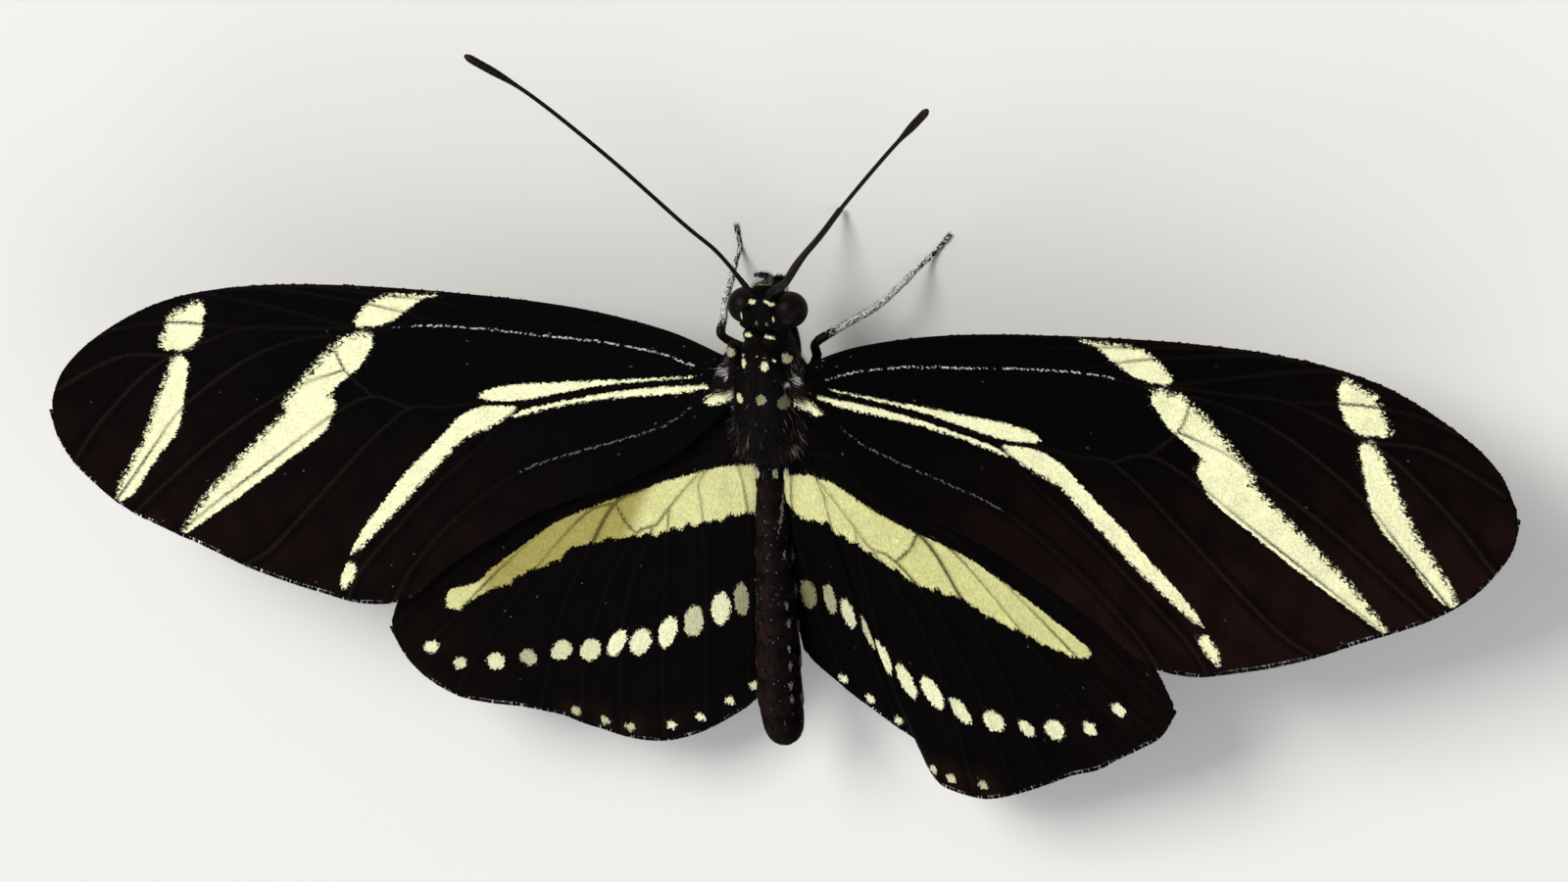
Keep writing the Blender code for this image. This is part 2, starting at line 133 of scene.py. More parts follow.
# Veins of each template: the line, then how far the vein stands proud of the membrane
FORE_VEINS = {
    "costal": (((-0.3, 0.42), (3.5, 1.8), (9.0, 2.8), (16.0, 3.25), (24.0, 3.3), (30.0, 2.8)), 0.06),
    "subcostal": (((0.0, 0.1), (6.0, 1.7), (14.0, 2.55), (20.0, 3.0), (24.5, 3.25)), 0.07),
    "radial": (((0.0, -0.4), (1.3, -0.05), (3.6, 0.6), (6.6, 1.05), (10.4, 1.25), (14.0, 1.45),
                (17.6, 1.45), (20.5, 1.1), (23.0, 1.0), (26.0, 0.85), (29.0, 0.65), (32.9, -0.9),
                (35.3, -2.3), (38.3, -5.2), (40.4, -7.9)), 0.1),
    "radial_1": (((16.0, 1.5), (20.5, 2.35), (25.0, 2.85), (28.0, 3.0)), 0.05),
    "radial_2": (((22.0, 1.05), (26.5, 1.85), (31.0, 2.45), (33.0, 2.25)), 0.045),
    "radial_3": (((29.0, 0.65), (33.2, 0.75), (36.4, 0.3), (38.6, -0.5)), 0.045),
    "radial_4": (((33.6, -1.2), (36.3, -1.3), (38.6, -2.2), (41.0, -3.6)), 0.045),
    "media_1": (((23.6, 0.6), (26.0, 0.1), (28.6, -1.0), (31.1, -2.6), (33.4, -4.5), (35.3, -6.9),
                 (37.9, -10.1)), 0.05),
    "media_2": (((22.7, -1.3), (26.2, -2.7), (30.7, -5.6), (34.4, -8.6), (36.9, -10.8)), 0.05),
    "media_3": (((18.8, -3.25), (21.0, -2.7), (23.5, -3.9), (27.0, -6.4), (31.8, -9.9),
                 (34.4, -12.0)), 0.06),
    "cell_end": (((23.6, 0.6), (22.7, -1.3), (21.0, -2.7)), 0.05),
    "cubital": (((0.2, -0.9), (1.5, -0.95), (4.6, -1.15), (7.2, -1.6), (9.6, -2.12), (12.0, -2.55),
                 (14.8, -2.75), (16.9, -3.1), (18.8, -3.25), (21.2, -5.2), (24.6, -8.6),
                 (28.0, -12.0), (30.4, -13.4)), 0.08),
    "cubital_2": (((11.9, -2.6), (14.4, -5.0), (17.3, -7.5), (20.0, -10.2), (22.6, -13.0),
                   (23.6, -14.9)), 0.055),
    "anal": (((0.4, -1.4), (1.6, -2.0), (3.5, -3.35), (6.0, -4.25), (8.0, -4.9), (11.0, -5.9),
              (13.0, -6.9), (16.3, -9.4), (19.2, -12.4), (20.7, -14.7)), 0.07),
}
HIND_VEINS = {
    "subcostal": (((-0.2, -0.8), (1.5, 0.9), (5.0, 1.2), (10.0, -0.6), (15.0, -4.4)), 0.06),
    "radial": (((0.0, -1.2), (3.5, -1.3), (8.0, -2.7), (12.5, -5.6), (17.5, -9.9), (21.5, -13.3)), 0.06),
    "radial_stem": (((3.5, -1.3), (5.4, -3.3), (9.6, -5.2), (14.4, -9.2), (18.4, -13.2),
                     (21.0, -15.6)), 0.05),
    "media_stem": (((0.2, -1.4), (3.2, -2.6), (5.4, -3.9), (7.2, -4.9), (8.9, -7.5), (11.2, -11.9),
                    (13.6, -18.8)), 0.055),
    "media_2": (((7.2, -4.9), (9.1, -5.7), (12.5, -9.3), (15.9, -13.7), (18.4, -17.4)), 0.045),
    "cell_end": (((7.2, -4.9), (6.8, -5.9), (6.2, -6.7)), 0.045),
    "cubital": (((0.3, -1.5), (2.2, -2.9), (4.1, -5.0), (5.0, -6.1), (6.2, -6.7), (8.1, -9.8),
                 (9.9, -14.0), (11.2, -19.4)), 0.06),
    "cubital_1": (((5.2, -6.3), (6.9, -10.0), (8.0, -14.4), (8.7, -19.9)), 0.045),
    "cubital_2": (((4.1, -5.0), (4.8, -9.4), (5.5, -14.5), (6.1, -19.2)), 0.045),
    "anal": (((0.4, -1.6), (2.2, -3.3), (2.2, -5.5), (2.6, -11.0), (3.6, -18.0)), 0.06),
    "inner": (((0.1, -1.7), (-0.3, -4.9), (0.0, -10.0), (0.9, -15.9)), 0.05),
}

# Pale marks of each template: strokes through (u, v, half width), with how soft the left and
# the right edge of the stroke are, seen along it, in millimetres
FORE_MARKS = {
    "subapical_oval": (((32.3, 1.45, 0.5), (32.9, 0.65, 1.0), (33.6, -0.05, 0.95),
                        (34.2, -0.45, 0.45)), 0.7, 0.2),
    "subapical_band": (((33.5, -1.65, 0.5), (33.95, -3.1, 0.72), (34.6, -5.0, 0.85),
                        (35.6, -6.6, 0.6), (36.2, -7.4, 0.55), (37.3, -9.0, 0.48),
                        (37.9, -9.7, 0.18)), 0.6, 0.16),
    "median_costal": (((17.0, 3.1, 0.03), (17.9, 3.0, 0.1), (18.9, 2.65, 0.42), (20.1, 2.25, 0.72),
                       (21.2, 1.8, 0.62), (22.0, 1.4, 0.3)), 0.4, 0.14),
    "median_upper": (((21.6, 0.35, 0.5), (22.6, -0.35, 0.9), (24.0, -1.5, 0.85),
                      (26.2, -3.6, 0.7)), 0.75, 0.08),
    "median_diagonal": (((24.5, -3.4, 0.75), (25.3, -4.1, 1.1), (27.4, -5.8, 1.0),
                         (29.9, -7.9, 0.78), (31.8, -9.5, 0.55), (32.9, -10.5, 0.32),
                         (33.8, -11.4, 0.12)), 0.65, 0.08),
    "cell_streak": (((1.5, -0.52, 0.02), (2.6, -0.68, 0.04), (5.0, -0.95, 0.07),
                     (7.5, -1.24, 0.15), (10.0, -1.66, 0.31), (12.1, -1.99, 0.43),
                     (13.6, -2.2, 0.35), (14.2, -2.3, 0.2), (14.5, -2.34, 0.04)), 0.14, 0.1),
    "fold_streak": (((0.9, -1.0, 0.1), (2.6, -1.3, 0.2), (4.5, -1.54, 0.2), (7.2, -1.94, 0.15),
                     (9.4, -2.42, 0.11), (11.4, -2.95, 0.13), (12.2, -3.2, 0.08),
                     (12.5, -3.32, 0.02)), 0.1, 0.2),
    "diagonal": (((12.35, -2.85, 0.12), (13.1, -3.12, 0.36), (14.3, -3.52, 0.62),
                  (15.5, -4.1, 0.58), (16.3, -4.8, 0.48), (17.6, -6.1, 0.5), (19.1, -7.55, 0.52),
                  (20.3, -8.8, 0.46), (21.9, -10.35, 0.37), (23.0, -11.5, 0.2),
                  (23.4, -11.9, 0.04)), 0.12, 0.3),
    "end_spot": (((23.5, -12.85, 0.34), (23.9, -13.5, 0.3), (24.1, -14.0, 0.12)), 0.3, 0.3),
    "root_patch": (((-0.6, -1.3, 0.3), (0.4, -1.65, 0.3), (1.0, -1.9, 0.13)), 0.3, 0.3),
}
# How much nearer to the body the outer marks lie
MARK_SLIP = {"forewing_left": 0.42, "forewing_right": 0.0}
# How brown the ground of each forewing is: dark brown ground with painted light shining through the wing, stronger on
# the right forewing
INLAND_BROWN_AND_BACKLIGHT = {"forewing_left": 0.5, "forewing_right": 1.0}
# The hindwing's pale band: its front edge, then its rear edge, each outward from the root
HIND_BANDS = {
    "hind_left": (((-1.5, -2.4), (0.6, -2.4), (2.1, -2.8), (4.5, -3.6), (5.5, -4.0), (7.4, -4.75),
                   (9.8, -5.75), (11.2, -6.5), (12.7, -7.6), (14.3, -8.8), (15.2, -9.5),
                   (15.8, -10.1), (16.6, -10.5), (17.7, -10.85), (18.1, -11.4)),
                  ((-1.5, -5.2), (0.5, -5.3), (1.7, -5.7), (3.4, -6.1), (5.0, -6.55), (6.9, -6.95),
                   (8.9, -7.35), (10.2, -7.85), (11.2, -8.7), (12.5, -9.15), (13.9, -10.0),
                   (15.4, -10.75), (16.4, -11.3), (17.3, -11.95), (18.1, -12.0))),
    "hind_right": (((-2.0, -2.7), (0.2, -2.5), (1.8, -2.7), (4.0, -3.8), (6.5, -4.8), (8.5, -5.4),
                    (10.2, -6.1), (11.3, -6.7), (13.2, -7.8), (15.0, -9.0), (16.3, -9.9),
                    (17.0, -10.4)),
                   ((-2.0, -4.1), (-0.7, -5.2), (0.3, -5.2), (2.1, -5.6), (3.1, -6.0),
                    (4.7, -6.8), (6.4, -7.7), (8.0, -8.1), (9.7, -8.5), (11.0, -9.2),
                    (13.2, -10.0), (15.0, -10.7), (16.2, -11.0), (17.0, -10.9))),
}
# Spots inside the margin: places on each wing, then the length and width of each in turn and
# how pale it is. The length points away from the root.
SPOT_PLACES = {
    "hind_left": ((-0.7, -9.8), (0.6, -10.55), (1.8, -11.1), (3.4, -11.85), (5.0, -12.6),
                  (6.7, -13.35), (8.1, -13.5), (9.75, -14.05), (11.5, -14.2), (13.6, -14.85),
                  (15.65, -15.25), (17.85, -15.5), (19.45, -14.6)),
    "hind_right": ((-1.4, -9.85), (-0.1, -10.05), (0.9, -10.8), (2.0, -11.8), (4.1, -12.5),
                   (5.4, -13.75), (6.95, -14.25), (8.6, -15.15), (10.6, -15.5), (12.6, -15.65),
                   (14.3, -15.55), (16.5, -15.15), (18.4, -13.8)),
}
SPOT_SHAPES = {
    "hind_left": ((1.8, 0.8, 0.1), (1.95, 0.8, 0.3), (2.05, 1.0, 1.0), (1.95, 1.05, 0.6),
                  (2.05, 0.95, 1.0), (1.85, 1.1, 0.95), (2.0, 0.85, 1.0), (1.5, 1.1, 0.8),
                  (1.4, 1.0, 0.75), (1.0, 0.95, 0.45), (1.15, 0.95, 0.85), (0.9, 0.62, 0.75),
                  (0.95, 0.68, 0.95)),
    "hind_right": ((1.7, 1.0, 0.12), (1.8, 0.72, 0.35), (1.8, 0.82, 0.75), (2.0, 0.6, 0.7),
                   (1.95, 0.8, 1.0), (2.1, 0.8, 1.0), (1.95, 1.1, 1.0), (1.7, 0.82, 0.95),
                   (1.3, 1.15, 0.95), (1.1, 0.72, 0.9), (1.15, 1.15, 0.95), (0.82, 0.78, 0.95),
                   (0.85, 0.7, 0.95)),
}
MARGINAL_DOTS = {
    "hind_left": ((0.6, -16.1), (2.1, -17.1), (3.9, -18.1), (5.6, -18.6), (8.1, -18.9),
                  (9.6, -18.6), (11.2, -18.1)),
    "hind_right": ((-0.4, -15.1), (1.0, -16.2), (2.5, -17.4), (6.2, -19.1), (7.3, -19.5),
                   (9.3, -19.6)),
}
MARGINAL_DOT_SIZE = 0.52
CRIMSON_SPOTS = {"fore": ((0.9, 0.35, 0.7, 0.5), (2.6, -2.7, 0.6, 0.4)),
                 "hind": ((0.6, -0.9, 0.8, 0.6), (1.9, 0.4, 0.9, 0.6), (0.7, -2.6, 0.7, 0.5),
                          (0.1, -5.6, 0.6, 0.45))}
# Where the veins meet the outer margin, outward from the root
VEIN_ENDS = {"fore": (20.7, 23.6, 30.4, 34.4, 36.9, 38.1, 40.4, 41.2),
             "hind": (0.9, 3.6, 6.1, 8.7, 11.2, 13.6, 18.4, 21.0)}
# Where each row of scales fans out from, and the angles that it sweeps, in degrees
FANS = {"fore": {"centre": (-5.0, 1.5), "reach": (4.0, 48.5), "sweep": (8.0, -46.0)},
        "hind": {"centre": (-2.2, 4.0), "reach": (2.0, 30.0), "sweep": (14.0, -96.0)}}
TEMPLATE_SPAN = 46.0
TEMPLATE_BACK = -22.0
TUFT_PATCH = 0.003
MEMBRANE_HALF = 0.035
PLEAT_DEPTH = 0.09
VEIN_HALF_WIDTH = 0.13

# Legs, feelers and mouth, in millimetres from the thorax centre, along the solids' lines
SOLE = 0.13 - THORAX[2]
LEG_ROUTES = {
    "midleg_left": ((0.8, -0.3, -1.9), (1.0, -0.3, -2.5), (2.2, -1.7, -1.6), (3.3, -2.6, -0.8),
                    (3.8, -3.25, -2.0), (4.25, -3.95, -3.2), (4.6, -4.7, -4.7),
                    (4.9, -5.4, SOLE + 0.9), (5.1, -6.0, SOLE), (5.3, -7.1, SOLE)),
    "midleg_right": ((-0.8, -0.3, -1.9), (-1.0, -0.3, -2.5), (-1.95, -1.7, -1.7),
                     (-2.4, -2.85, -0.8), (-3.5, -3.6, -2.2), (-4.85, -4.5, -3.7),
                     (-5.7, -5.5, -5.0), (-6.3, -6.3, SOLE + 0.55), (-6.9, -7.0, SOLE),
                     (-7.6, -7.85, SOLE)),
    "hindleg_left": ((0.75, 1.5, -1.7), (0.95, 1.7, -2.35), (3.0, 3.1, -1.9), (5.2, 4.4, -1.5),
                     (6.6, 5.7, -3.2), (7.9, 7.0, -5.0), (8.5, 8.0, SOLE + 0.6),
                     (8.9, 8.7, SOLE), (9.5, 9.8, SOLE)),
    "hindleg_right": ((-0.75, 1.5, -1.7), (-0.95, 1.7, -2.35), (-2.9, 3.2, -1.9),
                      (-5.0, 4.6, -1.5), (-6.3, 6.1, -3.2), (-7.5, 7.5, -5.0),
                      (-8.1, 8.5, SOLE + 0.6), (-8.5, 9.2, SOLE), (-9.1, 10.3, SOLE)),
}
KNEES = {"midleg_left": 3, "midleg_right": 3, "hindleg_left": 3, "hindleg_right": 3}
FORELEG = ((0.5, -1.6, -1.7), (0.5, -1.9, -2.25), (0.42, -2.9, -2.12), (0.36, -3.9, -1.72),
           (0.36, -4.65, -1.42))
PALPS = (((0.34, -5.2, -1.0), (0.37, -5.7, -1.1), (0.45, -6.25, -0.75), (0.6, -6.5, -0.2),
          (0.86, -6.62, 0.3)),
         ((-0.34, -5.2, -1.0), (-0.38, -5.7, -1.1), (-0.4, -6.2, -0.8), (-0.27, -6.38, -0.25),
          (-0.15, -6.45, 0.2)))
PROBOSCIS = ((0.0, -5.1, -1.0), (0.0, -5.35, -1.5), (-0.3, -6.5, -2.7), (-0.85, -7.7, -4.7),
             (-1.2, -8.8, -6.6))
FEELERS = {
    "left": ((0.55, -5.6, 1.0), (0.6, -5.9, 1.25), (2.25, -8.0, 1.7), (4.1, -9.6, 2.2),
             (8.1, -13.2, 3.2), (12.3, -16.6, 4.3), (15.75, -18.55, 4.98)),
    "right": ((-0.55, -5.6, 1.0), (-0.6, -5.9, 1.25), (-1.7, -6.75, 1.5), (-4.0, -9.4, 2.9),
              (-6.8, -12.4, 4.8), (-10.3, -16.0, 6.9), (-13.45, -19.05, 8.67)),
}
# How much thicker each feeler's base is than its shaft, from where to where that fades, and how much grey sheen is
# painted on it
FEELER_BASES = {"left": (0.05, 0.6, 2.2, 0.0), "right": (0.12, 1.0, 4.0, 0.03)}

# Pale spots of the body's upper side, four of them painted glints: (x, y, half width, half length, how pale, slant
# outward)
BODY_SPOTS_AND_GLINTS = (
    (0.5, -5.43, 0.3, 0.13, 1.0, 0.1), (-0.5, -5.45, 0.26, 0.12, 1.0, 0.45),
    (1.12, -4.6, 0.07, 0.2, 0.7, 0.0), (-0.86, -4.6, 0.06, 0.17, 0.7, 0.0),
    (0.2, -4.27, 0.07, 0.12, 0.3, 0.0), (-0.4, -4.25, 0.08, 0.12, 0.3, 0.0),
    (0.64, -3.6, 0.22, 0.11, 1.0, 0.15), (-0.63, -3.6, 0.27, 0.08, 1.0, 0.15),
    (0.7, -2.15, 0.17, 0.24, 1.0, -0.3), (-0.5, -2.13, 0.19, 0.24, 1.0, 0.0),
    # Painted glints: the next four tiny spots, at y -2.4 to -2.62, pale 0.9.
    (0.85, -2.5, 0.06, 0.07, 0.9, 0.0), (-0.04, -2.62, 0.05, 0.05, 0.9, 0.0),
    (-0.47, -2.55, 0.05, 0.05, 0.9, 0.0), (-0.9, -2.4, 0.07, 0.08, 0.9, 0.0),
    (1.72, -2.58, 0.28, 0.26, 0.5, 0.0), (-1.62, -2.58, 0.3, 0.26, 0.42, 0.0),
    (0.93, -0.18, 0.26, 0.28, 0.75, 0.0), (-0.38, -0.28, 0.27, 0.26, 0.42, 0.0),
    (-1.42, -0.1, 0.26, 0.36, 0.3, 0.0), (-0.5, 4.42, 0.3, 0.3, 0.42, 0.0),
    (0.8, 4.45, 0.3, 0.34, 0.7, 0.0),
)
# The bar across the face: x, height, half width, half height, how pale
FRONS_BAR = (0.15, 0.58, 0.36, 0.055, 0.65)
# Marks along the abdomen: how far back each lies and how pale it is
ABDOMEN_MARKS = ((6.9, 0.25), (9.1, 0.5), (12.1, 0.5), (13.1, 0.5), (14.6, 0.6), (15.6, 0.35),
                 (16.7, 0.5), (17.5, 0.4))
ABDOMEN_SPOT_ANGLE = 34.0
# The streak on its right flank: where it starts and ends, as (y, angle)
FLANK_STREAK = ((5.5, 14.0), (7.6, 44.0))
FLANK_SPOT_ANGLE = -14.0
# Half width of the abdomen's skin: share of the way back, millimetres
ABDOMEN_PROFILE = ((0.0, 0.72), (0.1, 0.75), (0.3, 0.93), (0.5, 1.05), (0.7, 1.13), (0.85, 1.16),
                   (0.94, 1.07), (0.98, 0.82), (1.0, 0.45))
FLOOR_GAP = 0.004
# Hair tufts, mirrored on both sides: start, aim, spread, count, tone, shortest, longest, width
TUFTS = (
    ((2.15, -0.02, 1.15), (1.0, 0.42, -0.08), 0.15, 34, "cream", 0.3, 0.62, 0.028),
    ((2.05, -1.3, 1.38), (0.9, 0.25, 0.05), 0.3, 34, "silver", 0.25, 0.6, 0.022),
    ((1.75, -1.2, 1.75), (0.5, 0.9, 0.05), 0.12, 8, "silver", 0.25, 0.45, 0.03),
    ((1.9, -0.6, 1.35), (1.0, 0.35, 0.0), 0.55, 150, "bistre", 0.5, 1.0, 0.03),
    ((1.0, 2.7, 1.2), (0.25, 1.0, -0.1), 0.65, 150, "bistre", 0.5, 1.0, 0.03),
    ((1.5, 2.7, 0.7), (0.35, 1.0, -0.1), 0.35, 24, "grey", 0.4, 0.9, 0.026),
    ((0.95, 4.2, 0.3), (0.1, 1.0, -0.05), 0.14, 26, "cream", 0.3, 0.6, 0.028),
    ((0.68, -6.12, 0.02), (0.75, 0.5, 0.0), 0.12, 40, "cream", 0.35, 0.6, 0.03),
    ((0.22, -6.1, 0.55), (0.22, -1.0, 0.3), 0.35, 46, "grey", 0.4, 0.85, 0.014),
)

# Camera: the photo's angle to the body, and the size of a photo pixel at the thorax
VIEW_RIGHT = 25.56
VIEW_HEAD = 16.45
VIEW_ROLL = -0.87
VIEW_DISTANCE = 400.0
PIXEL_SIZE = 0.0535
PHOTO_WIDTH = 1600.0
PHOTO_HEIGHT = 900.0
THORAX_PIXEL = (787.2, 399.5)
SENSOR = 36.0


def colour_setting(name, description, default):
    """A colour that the sidebar offers."""
    return bpy.props.FloatVectorProperty(name=name, description=description, default=default, size=3,
                                         subtype="COLOR", min=0.0, max=1.0)


def length_setting(name, description, default):
    """A length that the sidebar offers, in metres."""
    return bpy.props.FloatProperty(name=name, description=description, default=default, min=0.0,
                                   subtype="DISTANCE", unit="LENGTH", precision=5)


class LongwingWings(bpy.types.PropertyGroup):
    """Sizes and colours of the wings."""
    cream: colour_setting("Cream", "Pale bands in full light", (0.76, 0.75, 0.47))
    shaded_cream: colour_setting("Shaded cream", "Hindwing band", (0.55, 0.54, 0.235))
    # Painted shadow of the forewing on the left hindwing's band.
    forewing_shadow_cream: colour_setting("Olive cream", "Shaded part of the left band", (0.3, 0.26, 0.07))
    spot_cream: colour_setting("Spot cream", "Hindwing spots", (0.7, 0.7, 0.45))
    black: colour_setting("Black", "Darkest scales", (0.0009, 0.0008, 0.0008))
    # The brown ground, which on the forewings is partly painted light shining through the wing.
    maroon: colour_setting("Maroon", "Ground behind the bands", (0.0085, 0.0035, 0.0025))
    vein_brown: colour_setting("Vein brown", "Scales on the veins", (0.015, 0.0085, 0.0065))
    vein_olive: colour_setting("Vein olive", "Veins in the hindwing bands", (0.06, 0.05, 0.012))
    silver: colour_setting("Silver", "Dusting of pale scales", (0.45, 0.45, 0.4))
    crimson: colour_setting("Crimson", "Spots under the wing bases", (0.42, 0.015, 0.02))
    row_gap: length_setting("Row gap", "Between rows of upper scales", 0.000108)
    side_gap: length_setting("Side gap", "Between upper scales in a row", 0.000075)
    scale_length: length_setting("Scale length", "Of an upper scale", 0.00022)
    scale_width: length_setting("Scale width", "Of an upper scale", 0.000105)


class LongwingBody(bpy.types.PropertyGroup):
    """Sizes and colours of the body."""
    black: colour_setting("Black", "Body scales", (0.0008, 0.0007, 0.0007))
    brown: colour_setting("Brown", "Rings of the abdomen", (0.015, 0.0065, 0.005))
    bistre: colour_setting("Bistre", "Hair by the forewings", (0.01, 0.0055, 0.004))
    cream: colour_setting("Cream", "Pale spots", (0.7, 0.69, 0.41))
    olive: colour_setting("Olive", "Duller spots", (0.13, 0.125, 0.07))
    grey: colour_setting("Grey", "Hair by the wings", (0.2, 0.19, 0.16))
    silver: colour_setting("Silver", "Scales of the shins", (0.5, 0.5, 0.48))
    horn: colour_setting("Horn", "Feelers and proboscis", (0.012, 0.0075, 0.006))
    eye: colour_setting("Eye", "Compound eyes", (0.0042, 0.0021, 0.0016))
    hair_length: length_setting("Hair length", "Longest hair of the thorax", 0.001)


class LongwingStage(bpy.types.PropertyGroup):
    """Floor and light."""
    floor: colour_setting("Floor", "Floor colour", (0.62, 0.61, 0.58))
    floor_size: length_setting("Floor size", "Side of the floor", 3.0)
    key_power: bpy.props.FloatProperty(name="Key power", description="Of the large soft lamp, in watts",
                                       default=1.5, min=0.0)


def smooth_path(points, steps):
    """Read a smooth curve through a few points, an even number of steps to each span."""
    knots = [np.array(point, dtype=float) for point in points]
    knots = [2.0 * knots[0] - knots[1]] + knots + [2.0 * knots[-1] - knots[-2]]
    path = []
    for before, start, end, after in zip(knots, knots[1:], knots[2:], knots[3:]):
        for step in range(steps):
            t = step / steps
            bend = 2.0 * start + (end - before) * t
            bend = bend + (2.0 * before - 5.0 * start + 4.0 * end - after) * t * t
            bend = bend + (3.0 * start - before - 3.0 * end + after) * t ** 3
            path.append(0.5 * bend)
    path.append(knots[-2])
    return np.array(path)


def ease(low, high, value):
    """A smooth step from 0 at low to 1 at high."""
    t = np.clip((value - low) / (high - low), 0.0, 1.0)
    return t * t * (3.0 - 2.0 * t)


def drift(a, b, size, seed):
    """A soft random field of two coordinates, from about -1 to 1."""
    rng = np.random.default_rng(seed)
    total = np.zeros_like(np.asarray(a, dtype=float))
    for _ in range(6):
        angle = rng.uniform(0.0, 2.0 * math.pi)
        pitch = 2.0 * math.pi / (size * rng.uniform(0.6, 1.7))
        phase = rng.uniform(0.0, 2.0 * math.pi)
        total = total + np.sin((a * math.cos(angle) + b * math.sin(angle)) * pitch + phase)
    return total / 3.5


def blend_colours(first, second, share):
    """Mix two colours, one share for each row."""
    share = np.asarray(share, dtype=float)[:, None]
    return np.asarray(first, dtype=float) * (1.0 - share) + np.asarray(second, dtype=float) * share


def blend_colours_by_row(first, second, share):
    """Mix rows of colours with a colour or with other rows."""
    share = np.asarray(share, dtype=float)[:, None]
    return first * (1.0 - share) + np.asarray(second, dtype=float) * share


def line_distance(u, v, path):
    """For each place: distance to a polyline, share along it, and the side (left is positive)."""
    best = np.full(len(u), 1e9)
    along = np.zeros(len(u))
    side = np.zeros(len(u))
    spans = len(path) - 1
    for k in range(spans):
        start = path[k]
        step = path[k + 1] - start
        length2 = max(float(step @ step), 1e-12)
        du = u - start[0]
        dv = v - start[1]
        t = np.clip((du * step[0] + dv * step[1]) / length2, 0.0, 1.0)
        gap = np.hypot(du - t * step[0], dv - t * step[1])
        nearer = gap < best
        best = np.where(nearer, gap, best)
        along = np.where(nearer, (k + t) / spans, along)
        side = np.where(nearer, np.sign(step[0] * dv - step[1] * du), side)
    return best, along, side


def stroke_cover(u, v, stroke, left_soft, right_soft):
    """How surely each place lies on a stroke of changing width, from 0 to 1."""
    path = smooth_path(stroke, 5)
    cover = np.zeros(len(u))
    low = path.min(axis=0)[:2] - 2.5
    high = path.max(axis=0)[:2] + 2.5
    near = (u > low[0]) & (u < high[0]) & (v > low[1]) & (v < high[1])
    if not near.any():
        return cover
    gap, along, side = line_distance(u[near], v[near], path[:, :2])
    half = np.interp(along, np.linspace(0.0, 1.0, len(path)), path[:, 2])
    soft = np.where(side > 0.0, left_soft, right_soft)
    cover[near] = np.clip(0.5 + (half - gap) / soft, 0.0, 1.0)
    return cover


def oval_cover(u, v, spots, centre, soft):
    """How surely each place lies in one of a row of oval spots that point away from centre."""
    cover = np.zeros(len(u))
    for spot_u, spot_v, length, width in spots:
        aim = math.atan2(spot_v - centre[1], spot_u - centre[0])
        du = u - spot_u
        dv = v - spot_v
        along = (du * math.cos(aim) + dv * math.sin(aim)) / (0.5 * length)
        across = (dv * math.cos(aim) - du * math.sin(aim)) / (0.5 * width)
        gap = (np.hypot(along, across) - 1.0) * 0.25 * (length + width)
        cover = np.maximum(cover, np.clip(0.5 - gap / soft, 0.0, 1.0))
    return cover


def band_cover(u, v, front_edge, rear_edge):
    """How surely each place lies between the two edges of a band, the rear edge jagged."""
    front = smooth_path(front_edge, 5)
    rear = smooth_path(rear_edge, 5)
    ahead = np.interp(u, front[:, 0], front[:, 1]) - v
    behind = v - np.interp(u, rear[:, 0], rear[:, 1]) + 0.13 * drift(u, v * 0.3, 0.9, 13)
    short = front[-1, 0] - u
    return (np.clip(0.5 + ahead / 0.1, 0.0, 1.0) * np.clip(0.5 + behind / 0.22, 0.0, 1.0)
            * np.clip(0.5 + short / 0.2, 0.0, 1.0))


def wing_kind(name):
    """The template that a wing is cut from."""
    return {"forewing_left": "fore", "forewing_right": "fore"}.get(name, name.replace("wing", ""))


def pattern_place(kind, u):
    """Where on the common vein pattern a place at u lies."""
    return u + PATTERN_SLIP * ease(8.5, 3.5, u) if kind == "hind_right" else u


def wing_edges(kind):
    """The smooth leading and trailing edges of a template."""
    return smooth_path(LEADS[kind], 16), smooth_path(TRAILS[kind], 16)


def front_and_back(kind, u):
    """How far forward the membrane reaches at u, and how far back, with the margin scalloped."""
    lead, trail = wing_edges(kind)
    front = np.interp(u, lead[:, 0], lead[:, 1])
    back = np.interp(u, trail[:, 0], trail[:, 1])
    ends = np.array(VEIN_ENDS[kind[:4]])
    gap = np.abs(pattern_place(kind, np.asarray(u))[..., None] - ends).min(axis=-1)
    start = 19.0 if kind == "fore" else -1.0
    scallop = FRINGE_DEPTH + 0.12 * (1.0 - np.exp(-(gap / 0.75) ** 2))
    return front - 0.03, np.minimum(back + scallop * ease(start, start + 2.0, u), front - 0.04)


def vein_gaps(kind, u, v):
    """For each place: the ridge that the veins raise, and the gap to the nearest vein."""
    veins = FORE_VEINS if kind == "fore" else HIND_VEINS
    u = pattern_place(kind, u)
    ridge = np.zeros(len(u))
    nearest = np.full(len(u), 9.0)
    for line, height in veins.values():
        gap, along, _ = line_distance(u, v, smooth_path(line, 4))
        swell = height * (1.0 - 0.55 * along)
        half = VEIN_HALF_WIDTH * (1.25 - 0.5 * along)
        ridge = np.maximum(ridge, swell * np.exp(-(gap / half) ** 2))
        nearest = np.minimum(nearest, gap)
    return ridge, nearest


